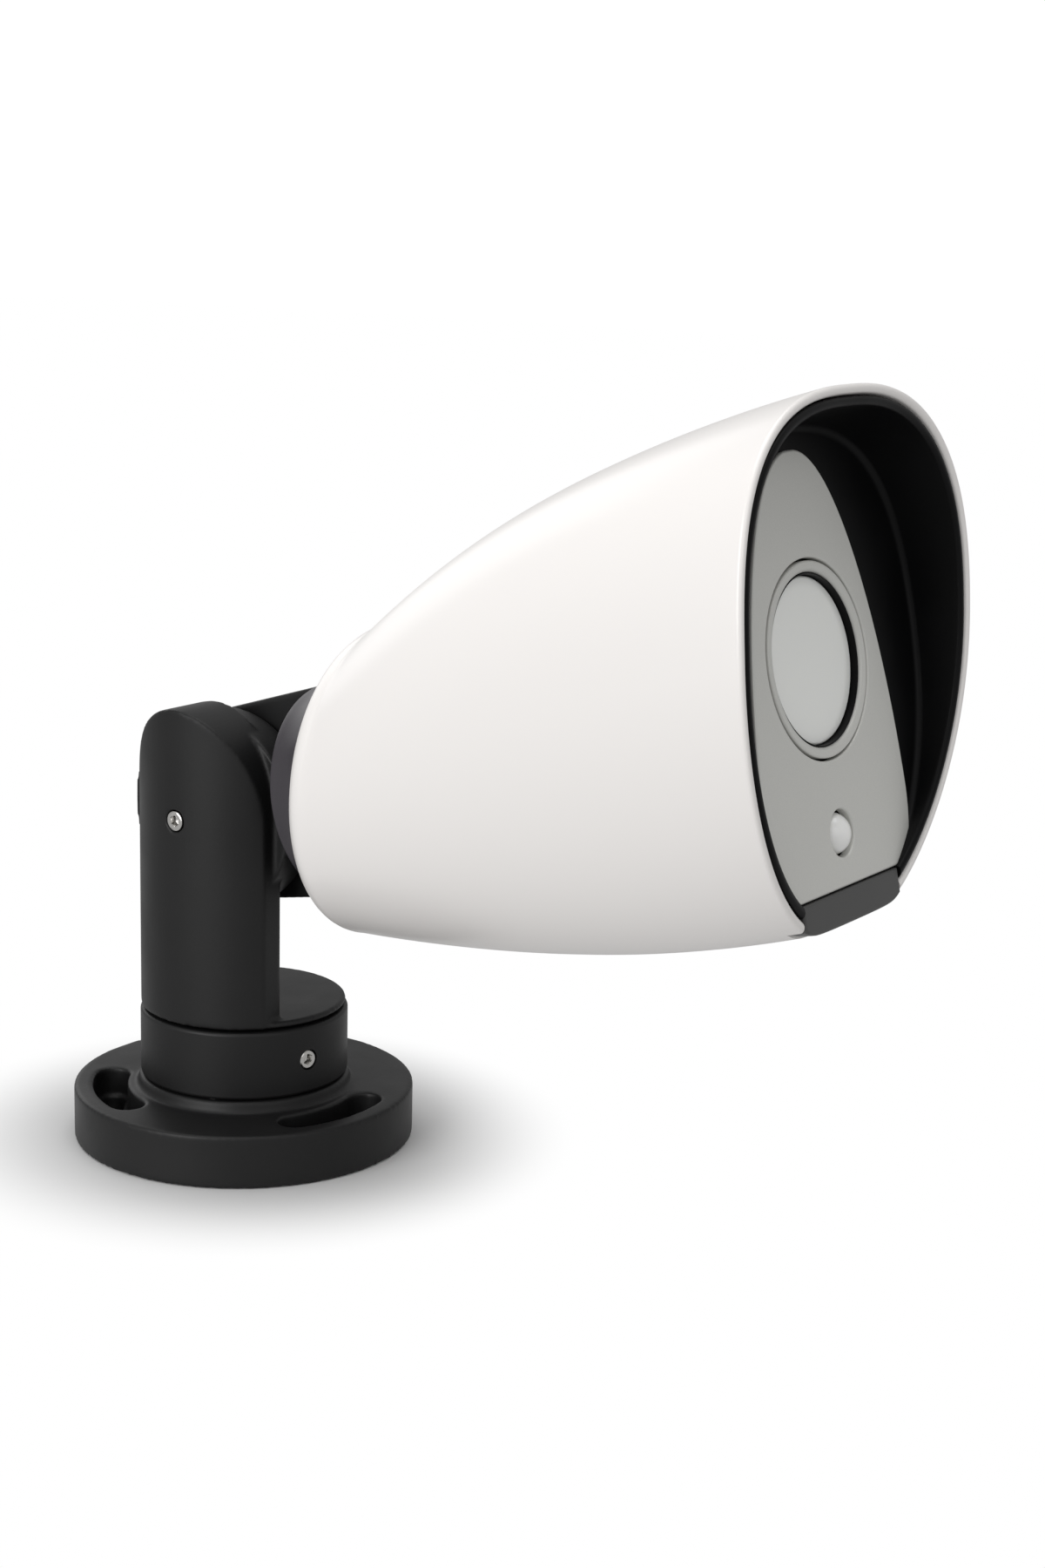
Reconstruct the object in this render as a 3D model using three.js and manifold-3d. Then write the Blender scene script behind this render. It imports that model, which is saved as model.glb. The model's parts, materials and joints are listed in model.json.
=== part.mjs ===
// Outdoor security camera on a two-axis bracket.
// Units are millimetres. The origin is the centre of the mounting flange's underside, +Z points away
// from the mounting surface, and the camera looks towards -Y. The tilt axis runs along X.
import * as THREE from 'three';
import { mergeVertices } from 'three/addons/utils/BufferGeometryUtils.js';
import Module from 'manifold-3d';

const wasm = await Module();
wasm.setup();

// ---------------------------------------------------------------- driving dimensions
const FIT = 0.3;                  // gap between pieces that touch or run on each other
const SEAM = 0.4;                 // visible seam between two covers
const CUT = 1;                    // how far a cutting tool runs past the face it opens
const ROUND = 36;                 // sides of a large round piece
const SMALL_ROUND = 12;           // sides of a screw or a small bore

// mounting flange
const FLANGE_R = 45;
const FLANGE_H = 13.8;
const FLANGE_EDGE = 1.4;
const NECK_H = 3.4;
const SLOT_COUNT = 3;
const SLOT_PITCH_R = FLANGE_R - 9.5;
const SLOT_FIRST_DEG = -98;
const SLOT_HALF_SPAN_DEG = 20;    // from the slot's middle to the centre of its round end
const SLOT_RECESS_W = 9;          // upper recess that takes the screw head
const SLOT_RECESS_FLOOR = 6;
const SLOT_THROUGH_W = 6.5;
const CABLE_R = 6;                // passage for the lead, from the wall up into the bracket
const GASKET_IN_R = 12;
const GASKET_OUT_R = 20;
const GASKET_T = 1.5;
const GROMMET_T = 5;              // closed rubber plug that the lead is pushed through

// collar and arm
const COLLAR_R = 27.4;
const COLLAR_H = 18;
const COLLAR_EDGE = 0.9;
const NECK_R = COLLAR_R - 0.2;    // low round neck between flange and collar
const SPIGOT_R = COLLAR_R - 8.4;  // the arm's round foot that turns inside the collar
const FOOT_T = 1.6;               // disc that shows above the collar
const FOOT_GROOVE = 0.7;
const FOOT_SETBACK = 0.6;
const ARM_HALF_W = 21.2;
const ARM_FACE_X = -10.5;         // flat inner face of the upright
const HINGE_FACE_X = -3;          // face of the round boss that the knuckle turns against
const BOSS_R = 26;
const ARM_TOP_RISE = 28.6;        // from the tilt axis to the arm's rounded top
const TILT_Z = 89.6;              // height of the tilt axis
const ARM_CHANNEL_R = 3;
const ARM_CHANNEL_IN = 4.3;        // from the arm's flat face to the channel's centre
const PAN_SCREW_DEG = -102;
const SET_SCREW_R = 2.5;

// tilt pivot
const PIVOT_R = 8;
const PIVOT_WALL = 5.4;           // from the pivot's end to the arm's outer side
const PIVOT_HEAD_R = PIVOT_R + 3;
const PIVOT_HEAD_T = 3;
const PIVOT_BORE_R = 4.5;
const WASHER_R = PIVOT_R + 7;
const WASHER_T = 1.4;

// head, measured from the tilt axis: F is forward, U is up, both in the head's own tilted frame
const PITCH_DEG = 12;             // how far the head is tipped up at rest
const SHELL_REAR_F = 41.2;
const FACE_F = 175;               // front of the face panel
const HOOD_TOP_F = FACE_F + 17.2;
const FACE_U = 22;                // height of the window's centre
const SHELL_WALL = 2.2;
const REAR_ROUND_R = 9;           // rounding where the shell turns in to the rear cap
const REAR_ROUND_LOW_DEG = 56;     // how far it turns in at the bottom of the opening
const REAR_ROUND_HIGH_DEG = 30;   // and at the top
const REAR_LEAN = 0.31;           // the rear opening leans back at its lower edge
const REAR_HALF_W = 33;
const REAR_TOP_U = 38;
const REAR_BOTTOM_U = -33.5;
const REAR_WAIST_U = 2;
const FRONT_HALF_W = 54.2;
const FRONT_TOP_U = 80.6;
const FRONT_BOTTOM_U = -34.4;
const FRONT_WAIST_U = 27;
const BOTTOM_SAG = 7;             // how far the underside bellies between its two ends
const SWELL = 0.7;                // convexity of the top and sides
const BOTTOM_FLAT = 0.085;        // share of the lower half cut off flat at the front
const TOP_SQUARE = 2.6;           // exponent of the upper outline at the front, 2 is an ellipse
const HOOD_AHEAD_MID = 11.7;      // hood edge ahead of the panel, at the window's height
const HOOD_AHEAD_BOTTOM = 0.4;    // and at the chin
const HOOD_BOTTOM_U = -34.4;
const LINER_WALL = 2.2;
const LINER_BACK = 12;            // how far the liner runs back behind the panel face

// front
const PANEL_T = 2.6;
const PANEL_HALF_W = 33;
const PANEL_WIDE_U = -34;         // below the window's centre
const PANEL_APEX = 46.5;
const PANEL_BOTTOM = -51;
const PANEL_FOOT_HALF_W = 24;
const PLATE_SETBACK = 1;
const PLATE_T = 5;
const CHIN_HALF_W = 22.5;
const CHIN_DEPTH = 4;
const CHIN_LEAN = 0.8;
const WINDOW_R = 19;
const WINDOW_T = 3;
const WINDOW_SETBACK = 2.2;
const RING_IN_R = WINDOW_R + 0.4;
const RING_OUT_R = WINDOW_R + 3;
const DOME_U = -39.1;             // sensor, below the window's centre
const DOME_R = 4.9;
const DOME_STAND = 1.6;           // how far it stands out from the face
const DOME_HOLE_R = 5.4;

// rear cap and knuckle
const CAP_REAR_F = 33;
const CAP_REAR_R = 27.6;
const CAP_U = 1.2;                // height of the rear cap's centre
const CAP_FLARE = 1.9;            // above 1 the cap flares out like a trumpet towards the shell
const CAP_WALL = 3;
const CAP_LIP = 7;                // how far the cap runs inside the shell
const CAP_STAND = 0.8;            // how far its flare stands behind the shell's edge
const KNUCKLE_R = 25.2;           // round end about the tilt axis
const NECK_END_R = 27.2;          // where the neck meets the rear cap
const NECK_END_U = 1.2;

// inside the head
const HOUSING_INSET = 6;
const HOUSING_WALL = 2.2;
const HOUSING_BACK_F = 68;
const HOUSING_SCREW_X = 13;
const HOUSING_SCREW_U = 12;
const BOARD_T = 1.6;
const LENS_R = 7.5;
const CHASSIS_T = 1.5;
const CHASSIS_GAP = 1;
const LAMP_COUNT = 6;             // infrared lamps around the lens
const LAMP_PITCH_R = 13.4;
const LAMP_R = 2.3;

// ---------------------------------------------------------------- solids
function toSolid(geometry) {
  const bare = geometry.clone();
  bare.deleteAttribute('normal');
  bare.deleteAttribute('uv');
  const merged = mergeVertices(bare, 1e-4);
  const mesh = new wasm.Mesh({
    numProp: 3,
    vertProperties: new Float32Array(merged.attributes.position.array),
    triVerts: new Uint32Array(merged.index.array),
  });
  return new wasm.Manifold(mesh);
}

function toGeometry(solid) {
  const mesh = solid.getMesh();
  const geometry = new THREE.BufferGeometry();
  geometry.setAttribute('position', new THREE.BufferAttribute(new Float32Array(mesh.vertProperties), 3));
  geometry.setIndex(new THREE.BufferAttribute(new Uint32Array(mesh.triVerts), 1));
  geometry.computeVertexNormals();
  return geometry;
}

// round bar along Z
function barZ(r, z0, z1, x = 0, y = 0, sides = SMALL_ROUND) {
  const bar = new THREE.CylinderGeometry(r, r, z1 - z0, sides);
  bar.rotateX(Math.PI / 2);
  bar.translate(x, y, (z0 + z1) / 2);
  return toSolid(bar);
}

// round bar along X
function barX(r, x0, x1, y = 0, z = 0, sides = SMALL_ROUND) {
  const bar = new THREE.CylinderGeometry(r, r, x1 - x0, sides);
  bar.rotateZ(-Math.PI / 2);
  bar.translate((x0 + x1) / 2, y, z);
  return toSolid(bar);
}

// round bar along the head's forward axis, between two forward positions
function barF(r, f0, f1, x = 0, u = 0, sides = SMALL_ROUND) {
  const bar = new THREE.CylinderGeometry(r, r, f1 - f0, sides);
  bar.translate(x, -(f0 + f1) / 2, u);
  return toSolid(bar);
}

// round bar in the XY plane that starts on the Z axis and points along an angle
function barOut(r, r0, r1, degrees, z, sides = SMALL_ROUND) {
  const bar = new THREE.CylinderGeometry(r, r, r1 - r0, sides);
  bar.rotateZ(-Math.PI / 2);
  bar.translate((r0 + r1) / 2, 0, z);
  bar.rotateZ(THREE.MathUtils.degToRad(degrees));
  return toSolid(bar);
}

function block(x0, x1, y0, y1, z0, z1) {
  const box = new THREE.BoxGeometry(x1 - x0, y1 - y0, z1 - z0);
  box.translate((x0 + x1) / 2, (y0 + y1) / 2, (z0 + z1) / 2);
  return toSolid(box);
}

// block between two forward positions of the head
function blockF(x0, x1, f0, f1, u0, u1) {
  return block(x0, x1, -f1, -f0, u0, u1);
}

// body of revolution about Z from [radius, z] corners
function turned(corners, sides = ROUND) {
  const profile = corners.map(([r, z]) => new THREE.Vector2(r, z));
  profile.push(profile[0].clone());
  const lathe = new THREE.LatheGeometry(profile, sides);
  lathe.rotateX(Math.PI / 2);
  const solid = toSolid(lathe);
  return solid.volume() > 0 ? solid : toSolid(flipped(lathe));
}

function flipped(geometry) {
  const copy = geometry.clone();
  const index = copy.index.array;
  for (let i = 0; i < index.length; i += 3) {
    [index[i + 1], index[i + 2]] = [index[i + 2], index[i + 1]];
  }
  return copy;
}

// outline in the head's X and U, as thick as the stretch between two forward positions
function plateF(shape, f0, f1, segments = 12) {
  const options = { depth: f1 - f0, bevelEnabled: false, curveSegments: segments };
  const plate = new THREE.ExtrudeGeometry(shape, options);
  plate.rotateX(Math.PI / 2);
  plate.translate(0, -f0, 0);
  return toSolid(plate);
}

// outline in the head's F and U, between two X positions
function plateX(corners, x0, x1) {
  const shape = new THREE.Shape(corners.map(([f, u]) => new THREE.Vector2(-f, u)));
  const plate = new THREE.ExtrudeGeometry(shape, { depth: x1 - x0, bevelEnabled: false });
  plate.rotateX(Math.PI / 2);
  plate.rotateZ(Math.PI / 2);
  plate.translate(x0, 0, 0);
  return toSolid(plate);
}

// closed skin over a list of rings that all have the same number of points
function skin(rings, closed) {
  const count = rings[0].length;
  const positions = rings.flat().flatMap((p) => [p.x, p.y, p.z]);
  const index = [];
  const spans = closed ? rings.length : rings.length - 1;
  for (let i = 0; i < spans; i += 1) {
    const a = i * count;
    const b = ((i + 1) % rings.length) * count;
    for (let j = 0; j < count; j += 1) {
      const k = (j + 1) % count;
      index.push(a + j, b + j, b + k, a + j, b + k, a + k);
    }
  }
  if (!closed) {
    for (const [start, turn] of [[0, 1], [(rings.length - 1) * count, -1]]) {
      const middle = positions.length / 3;
      const ring = rings[start / count];
      const centre = ring.reduce((sum, p) => sum.add(p), new THREE.Vector3()).divideScalar(count);
      positions.push(centre.x, centre.y, centre.z);
      for (let j = 0; j < count; j += 1) {
        const k = (j + 1) % count;
        index.push(...(turn > 0 ? [middle, start + j, start + k] : [middle, start + k, start + j]));
      }
    }
  }
  const geometry = new THREE.BufferGeometry();
  geometry.setAttribute('position', new THREE.Float32BufferAttribute(positions, 3));
  geometry.setIndex(index);
  const solid = toSolid(geometry);
  return solid.volume() > 0 ? solid : toSolid(flipped(geometry));
}

// ---------------------------------------------------------------- the head's outer form
const HEAD_POINTS = 36;
const LEAN_ENDS_AT = 0.6;         // share of the length over which the sections stand up straight

// share of the way from the rear opening to the hood's tip, held at 0 and 1 beyond them
function alongHead(forward) {
  return THREE.MathUtils.clamp((forward - SHELL_REAR_F) / (HOOD_TOP_F - SHELL_REAR_F), 0, 1);
}

// cross-section of the head at one forward position, drawn in by an inset
function headRing(forward, inset, points = HEAD_POINTS, lean = true) {
  const s = alongHead(forward);
  const grow = s * (1 + SWELL) - SWELL * s * s;
  const halfW = THREE.MathUtils.lerp(REAR_HALF_W, FRONT_HALF_W, grow) - inset;
  const top = THREE.MathUtils.lerp(REAR_TOP_U, FRONT_TOP_U, grow) - inset;
  const sag = 4 * BOTTOM_SAG * s * (1 - s);
  const bottom = THREE.MathUtils.lerp(REAR_BOTTOM_U, FRONT_BOTTOM_U, s) - sag + inset;
  const waist = THREE.MathUtils.lerp(REAR_WAIST_U, FRONT_WAIST_U, grow);
  const square = 2 / THREE.MathUtils.lerp(2.1, TOP_SQUARE, s);
  const fullDepth = (waist - bottom) * (1 + BOTTOM_FLAT * s);
  const backLean = lean ? REAR_LEAN * Math.max(0, 1 - s / LEAN_ENDS_AT) ** 2 : 0;
  const ring = [];
  for (let i = 0; i < points; i += 1) {
    const angle = (2 * Math.PI * (i + 0.5)) / points;
    const c = Math.cos(angle);
    const d = Math.sin(angle);
    const upper = d > 0;
    const x = Math.sign(c) * halfW * (upper ? Math.abs(c) ** square : Math.abs(c));
    const rise = upper ? (top - waist) * d ** square : Math.max(fullDepth * d, bottom - waist);
    ring.push(new THREE.Vector3(x, -(forward + backLean * rise), waist + rise));
  }
  return ring;
}

const FRONT_STATIONS = [0.15, 0.3, 0.47, 0.66, 0.86, 1, 1.08].map(
  (share) => THREE.MathUtils.lerp(SHELL_REAR_F, HOOD_TOP_F, share));

// one ring of the rounding behind the shell; share runs from 0 where it starts to 1 at the opening
function roundedRing(depth, share) {
  const centre = SHELL_REAR_F + REAR_ROUND_R;
  const radius = REAR_ROUND_R - depth;
  return Array.from({ length: HEAD_POINTS }, (_, j) => {
    const high = (1 + Math.sin((2 * Math.PI * (j + 0.5)) / HEAD_POINTS)) / 2;
    const degrees = THREE.MathUtils.lerp(REAR_ROUND_LOW_DEG, REAR_ROUND_HIGH_DEG, high);
    const turn = THREE.MathUtils.degToRad(degrees * share);
    const p = headRing(centre, depth + radius * (1 - Math.cos(turn)))[j];
    return p.setY(p.y + radius * Math.sin(turn));
  });
}

// rings of one skin of the shell, from its rear opening forward; depth is how far below the surface
function shellRings(depth) {
  const steps = 3;
  const rings = [];
  for (let i = steps; i >= 0; i -= 1) {
    rings.push(roundedRing(depth, i / steps));
  }
  FRONT_STATIONS.forEach((f) => rings.push(headRing(f, depth)));
  return rings;
}

// solid form of the head between two forward positions, drawn in by an inset
function headForm(inset, f0, f1, points = HEAD_POINTS) {
  const inside = FRONT_STATIONS.filter((f) => f > f0 + CUT && f < f1 - CUT);
  return skin([f0, ...inside, f1].map((f) => headRing(f, inset, points, false)), false);
}

// how far the hood's edge stands ahead of the panel at a height: a parabola through three points
function hoodEdge(u) {
  const topAhead = HOOD_TOP_F - FACE_F;
  const points = [[HOOD_BOTTOM_U, HOOD_AHEAD_BOTTOM], [FACE_U, HOOD_AHEAD_MID], [FRONT_TOP_U, topAhead]];
  return points.reduce((sum, [ui, gi], i) => sum + gi * points.reduce(
    (term, [uj], j) => (j === i ? term : (term * (u - uj)) / (ui - uj)), 1), 0);
}

// everything ahead of the hood's edge, which trims the shell and the liner; ahead moves it forward
function hoodTrim(ahead) {
  const low = FRONT_BOTTOM_U - 20;
  const high = FRONT_TOP_U + 20;
  const steps = 16;
  const edge = [];
  for (let i = 0; i <= steps; i += 1) {
    const u = THREE.MathUtils.lerp(low, high, i / steps);
    edge.push([FACE_F + hoodEdge(u) + ahead, u]);
  }
  return plateX([...edge, [FACE_F + 80, high], [FACE_F + 80, low]], -FRONT_HALF_W - 20, FRONT_HALF_W + 20);
}

// the block at the front of the underside that the chin takes; clear widens it for the pieces around it
function chinZone(clear) {
  const top = FACE_U + PANEL_BOTTOM - SEAM;
  return blockF(-CHIN_HALF_W - clear, CHIN_HALF_W + clear, FACE_F - CHIN_DEPTH - clear, FACE_F + 40,
    FRONT_BOTTOM_U - 20, top + clear);
}

// ---------------------------------------------------------------- scene graph
const camera = new THREE.Group();
const base = new THREE.Group();
const arm = new THREE.Group();
const head = new THREE.Group();
head.position.z = TILT_Z;
head.rotation.x = THREE.MathUtils.degToRad(-PITCH_DEG);
camera.add(base, arm, head);

const finishes = {
  castBlack: { color: 0x2b2c2c, roughness: 0.62, metalness: 0.25 },
  capBlack: { color: 0x3a373b, roughness: 0.55, metalness: 0.1 },
  shellWhite: { color: 0xeae6e3, roughness: 0.35, metalness: 0 },
  hoodBlack: { color: 0x0e0e0f, roughness: 0.5, metalness: 0 },
  panelGrey: { color: 0xa7a5a1, roughness: 0.45, metalness: 0.35 },
  windowPale: { color: 0xc6c7c2, roughness: 0.3, metalness: 0 },
  steel: { color: 0xb9bab8, roughness: 0.3, metalness: 1 },
  rubber: { color: 0x151515, roughness: 0.9, metalness: 0 },
  board: { color: 0x1d5a34, roughness: 0.6, metalness: 0 },
  glass: { color: 0x28303c, roughness: 0.05, metalness: 0 },
};

function addPart(group, name, solid, finish) {
  const mesh = new THREE.Mesh(toGeometry(solid), new THREE.MeshStandardMaterial(finishes[finish]));
  mesh.name = name;
  group.add(mesh);
}

// ---------------------------------------------------------------- base
const neckTop = FLANGE_H + NECK_H;
const collarBottom = neckTop;
const collarTop = collarBottom + COLLAR_H;
const footBottom = collarTop + FOOT_GROOVE;
const footTop = footBottom + FOOT_T;
const SCREW_PITCH_R = COLLAR_R - 3;
const SCREW_R = 1.4;
const SCREW_HEAD_R = 2.8;
const SCREW_HEAD_T = 2.2;
const SCREW_SINK = 4;
const COLLAR_SCREW_DEPTH = 9;
const CLIP_OUT_R = SPIGOT_R + 2.4;          // retaining clip under the collar's inner ledge
const CLIP_T = 1.4;
const LEDGE_UP = 3.4;

// arc-shaped cut through the flange; half is half its width
function arcSlot(half, z0, z1, middleDeg) {
  const span = THREE.MathUtils.degToRad(SLOT_HALF_SPAN_DEG);
  const [endX, endY] = [SLOT_PITCH_R * Math.cos(span), SLOT_PITCH_R * Math.sin(span)];
  const shape = new THREE.Shape();
  shape.absarc(0, 0, SLOT_PITCH_R + half, -span, span, false);
  shape.absarc(endX, endY, half, span, span + Math.PI, false);
  shape.absarc(0, 0, SLOT_PITCH_R - half, span, -span, true);
  shape.absarc(endX, -endY, half, -span - Math.PI, -span, false);
  const slot = new THREE.ExtrudeGeometry(shape, { depth: z1 - z0, bevelEnabled: false, curveSegments: 5 });
  slot.translate(0, 0, z0);
  slot.rotateZ(THREE.MathUtils.degToRad(middleDeg));
  return toSolid(slot);
}

function thirds(first) {
  return Array.from({ length: SLOT_COUNT }, (_, i) => first + (360 * i) / SLOT_COUNT);
}

function aroundZ(radius, degrees) {
  const angle = THREE.MathUtils.degToRad(degrees);
  return [radius * Math.cos(angle), radius * Math.sin(angle)];
}

const collarScrewAngles = thirds(SLOT_FIRST_DEG + 180 / SLOT_COUNT);

function buildFlange() {
  let flange = turned([
    [CABLE_R, 0], [FLANGE_R, 0], [FLANGE_R, FLANGE_H - FLANGE_EDGE], [FLANGE_R - FLANGE_EDGE, FLANGE_H],
    [NECK_R, FLANGE_H], [NECK_R, neckTop - FIT], [CABLE_R, neckTop - FIT],
  ], ROUND + 8);
  flange = flange.subtract(turned([
    [GASKET_IN_R - FIT, -CUT], [GASKET_OUT_R + FIT, -CUT],
    [GASKET_OUT_R + FIT, GASKET_T], [GASKET_IN_R - FIT, GASKET_T],
  ], 24));
  for (const angle of thirds(SLOT_FIRST_DEG)) {
    flange = flange.subtract(arcSlot(SLOT_RECESS_W / 2, SLOT_RECESS_FLOOR, FLANGE_H + CUT, angle));
    flange = flange.subtract(arcSlot(SLOT_THROUGH_W / 2, -CUT, SLOT_RECESS_FLOOR + CUT, angle));
  }
  for (const angle of collarScrewAngles) {
    const [x, y] = aroundZ(SCREW_PITCH_R, angle);
    flange = flange.subtract(barZ(SCREW_R + FIT, -CUT, neckTop + CUT, x, y));
    flange = flange.subtract(barZ(SCREW_HEAD_R + FIT, -CUT, SCREW_SINK, x, y));
  }
  return flange;
}

function buildCollar() {
  let collar = turned([
    [SPIGOT_R + FIT, collarBottom + LEDGE_UP], [CLIP_OUT_R + FIT, collarBottom + LEDGE_UP],
    [CLIP_OUT_R + FIT, collarBottom], [COLLAR_R - COLLAR_EDGE, collarBottom],
    [COLLAR_R, collarBottom + COLLAR_EDGE], [COLLAR_R, collarTop - COLLAR_EDGE],
    [COLLAR_R - COLLAR_EDGE, collarTop], [SPIGOT_R + FIT, collarTop],
  ]);
  for (const angle of collarScrewAngles) {
    const [x, y] = aroundZ(SCREW_PITCH_R, angle);
    const top = collarBottom + COLLAR_SCREW_DEPTH;
    collar = collar.subtract(barZ(SCREW_R + FIT, collarBottom - CUT, top, x, y));
  }
  const screwZ = (collarBottom + collarTop) / 2;
  return collar.subtract(barOut(SET_SCREW_R + FIT, SPIGOT_R - CUT, COLLAR_R + CUT, PAN_SCREW_DEG, screwZ));
}

// cheese-head screw standing on its head along Z
function upScrew(x, y, z0, length) {
  const shank = barZ(SCREW_R, z0 + SCREW_HEAD_T - 0.2, z0 + length, x, y, 8);
  const screwHead = barZ(SCREW_HEAD_R, z0, z0 + SCREW_HEAD_T, x, y, 12);
  const socket = barZ(SCREW_R, z0 - CUT, z0 + SCREW_HEAD_T / 2, x, y, 6);
  return shank.add(screwHead).subtract(socket);
}

const SOCKET_R = 1.35;            // hexagon socket in the outer end of each lock screw
const SOCKET_DEPTH = 2;

function buildBase() {
  addPart(base, 'base_flange', buildFlange(), 'castBlack');
  addPart(base, 'base_collar', buildCollar(), 'castBlack');
  addPart(base, 'base_gasket', turned([
    [GASKET_IN_R, 0], [GASKET_OUT_R, 0], [GASKET_OUT_R, GASKET_T - FIT], [GASKET_IN_R, GASKET_T - FIT],
  ], 24), 'rubber');
  addPart(base, 'cable_grommet', turned([
    [0, 0], [CABLE_R - FIT, 0], [CABLE_R - FIT, GROMMET_T], [0, GROMMET_T],
  ], 20), 'rubber');
  collarScrewAngles.forEach((angle, i) => {
    const [x, y] = aroundZ(SCREW_PITCH_R, angle);
    const length = neckTop - SCREW_SINK + SCREW_HEAD_T + COLLAR_SCREW_DEPTH;
    const screw = upScrew(x, y, SCREW_SINK - SCREW_HEAD_T - FIT, length);
    addPart(base, `collar_screw_${i + 1}`, screw, 'steel');
  });
  const screwZ = (collarBottom + collarTop) / 2;
  const grub = barOut(SET_SCREW_R, SPIGOT_R + FIT, COLLAR_R - 0.2, PAN_SCREW_DEG, screwZ);
  const socket = barOut(SOCKET_R, COLLAR_R - SOCKET_DEPTH, COLLAR_R + CUT, PAN_SCREW_DEG, screwZ, 6);
  addPart(base, 'pan_lock_screw', grub.subtract(socket), 'steel');
}

// ---------------------------------------------------------------- arm
const spigotBottom = collarBottom + FIT;
const GROOVE_R = SPIGOT_R - 2;              // waist of the spigot that the retaining clip grips
const SPIGOT_POCKET_R = SPIGOT_R - 5;
const SPIGOT_ROOF = 5;
const clipTop = collarBottom + LEDGE_UP - FIT;
const clipBottom = clipTop - CLIP_T;
const channelX = ARM_FACE_X - ARM_CHANNEL_IN;
const pivotEndX = PIVOT_WALL - COLLAR_R;

// side view of the arm: straight flanks and a rounded top
function armOutline() {
  const shape = new THREE.Shape();
  shape.moveTo(-ARM_HALF_W, footTop - 0.5);
  shape.lineTo(ARM_HALF_W, footTop - 0.5);
  shape.lineTo(ARM_HALF_W, TILT_Z);
  shape.absellipse(0, TILT_Z, ARM_HALF_W, ARM_TOP_RISE, 0, Math.PI, false, 0);
  shape.lineTo(-ARM_HALF_W, footTop - 0.5);
  return shape;
}

function buildArm() {
  const options = { depth: COLLAR_R * 2, bevelEnabled: false, curveSegments: 12 };
  const slab = new THREE.ExtrudeGeometry(armOutline(), options);
  slab.rotateX(Math.PI / 2);
  slab.rotateZ(Math.PI / 2);
  slab.translate(ARM_FACE_X - COLLAR_R * 2, 0, 0);
  const upright = toSolid(slab).intersect(barZ(COLLAR_R - 0.2, 0, TILT_Z + ARM_TOP_RISE + CUT, 0, 0, ROUND));
  const foot = turned([
    [0, footBottom - SPIGOT_ROOF], [SPIGOT_POCKET_R, footBottom - SPIGOT_ROOF],
    [SPIGOT_POCKET_R, spigotBottom], [SPIGOT_R, spigotBottom], [SPIGOT_R, clipBottom - FIT],
    [GROOVE_R, clipBottom - FIT], [GROOVE_R, clipTop + FIT],
    [SPIGOT_R, clipTop + FIT], [SPIGOT_R, footBottom],
    [COLLAR_R - FOOT_SETBACK, footBottom], [COLLAR_R - FOOT_SETBACK, footTop - 0.4],
    [COLLAR_R - FOOT_SETBACK - 0.4, footTop], [0, footTop],
  ]);
  const boss = barX(BOSS_R, ARM_FACE_X - CUT, HINGE_FACE_X, 0, TILT_Z, ROUND);
  return upright.add(foot).add(boss)
    .subtract(barX(PIVOT_R + FIT, pivotEndX - FIT, HINGE_FACE_X + CUT, 0, TILT_Z, 24))
    .subtract(barZ(ARM_CHANNEL_R, footBottom - SPIGOT_ROOF - CUT, TILT_Z, channelX, 0))
    .subtract(barX(SET_SCREW_R + FIT, -COLLAR_R - CUT, pivotEndX, 0, TILT_Z));
}

function buildArmGroup() {
  addPart(arm, 'bracket_arm', buildArm(), 'castBlack');
  const grub = barX(SET_SCREW_R, -COLLAR_R + 0.1, pivotEndX - 2 * FIT, 0, TILT_Z);
  const socket = barX(SOCKET_R, -COLLAR_R - CUT, -COLLAR_R + SOCKET_DEPTH, 0, TILT_Z, 6);
  addPart(arm, 'tilt_lock_screw', grub.subtract(socket), 'steel');
  const ring = turned([
    [GROOVE_R + FIT, clipBottom], [CLIP_OUT_R, clipBottom], [CLIP_OUT_R, clipTop], [GROOVE_R + FIT, clipTop],
  ], 24);
  const mouth = block(GROOVE_R - 2, CLIP_OUT_R + 2, -2, 2, clipBottom - CUT, clipTop + CUT);
  addPart(arm, 'retaining_clip', ring.subtract(mouth), 'steel');
}

// ---------------------------------------------------------------- head: knuckle and rear cap
const knuckleFaceX = HINGE_FACE_X + 2 * FIT;
const washerX0 = HINGE_FACE_X + FIT;
const washerX1 = washerX0 + WASHER_T;
const pivotHeadX = 14;
const KNUCKLE_SCREW_X = 6;
const KNUCKLE_SCREW_U = 18.5;
const capRearFace = CAP_REAR_F;
const capFloor = capRearFace + CAP_WALL;

const CABLE_X = 5.5;

// circle in the head's X and U at a forward position
function circleRing(forward, radius, u, points = ROUND) {
  return Array.from({ length: points }, (_, i) => {
    const angle = (2 * Math.PI * (i + 0.5)) / points;
    return new THREE.Vector3(radius * Math.cos(angle), -forward, u + radius * Math.sin(angle));
  });
}

// the shell's rear opening, drawn in by a gap
function rearOpening(gap, forwardShift) {
  const edge = roundedRing(SHELL_WALL, 1);
  const centre = edge.reduce((sum, p) => sum.add(p), new THREE.Vector3()).divideScalar(edge.length);
  return edge.map((p) => {
    const out = new THREE.Vector3(p.x - centre.x, 0, p.z - centre.z);
    return p.sub(out.setLength(gap)).setY(p.y - forwardShift);
  });
}

// ring part of the way from the cap's rear circle to the shell's opening
function flareRing(share, wall) {
  const from = circleRing(capRearFace + wall, CAP_REAR_R - wall, CAP_U, HEAD_POINTS);
  const to = rearOpening(SEAM + wall, -CAP_STAND);
  const out = share ** CAP_FLARE;
  return from.map((p, j) => new THREE.Vector3(
    THREE.MathUtils.lerp(p.x, to[j].x, out),
    THREE.MathUtils.lerp(p.y, to[j].y, share),
    THREE.MathUtils.lerp(p.z, to[j].z, out),
  ));
}

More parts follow.
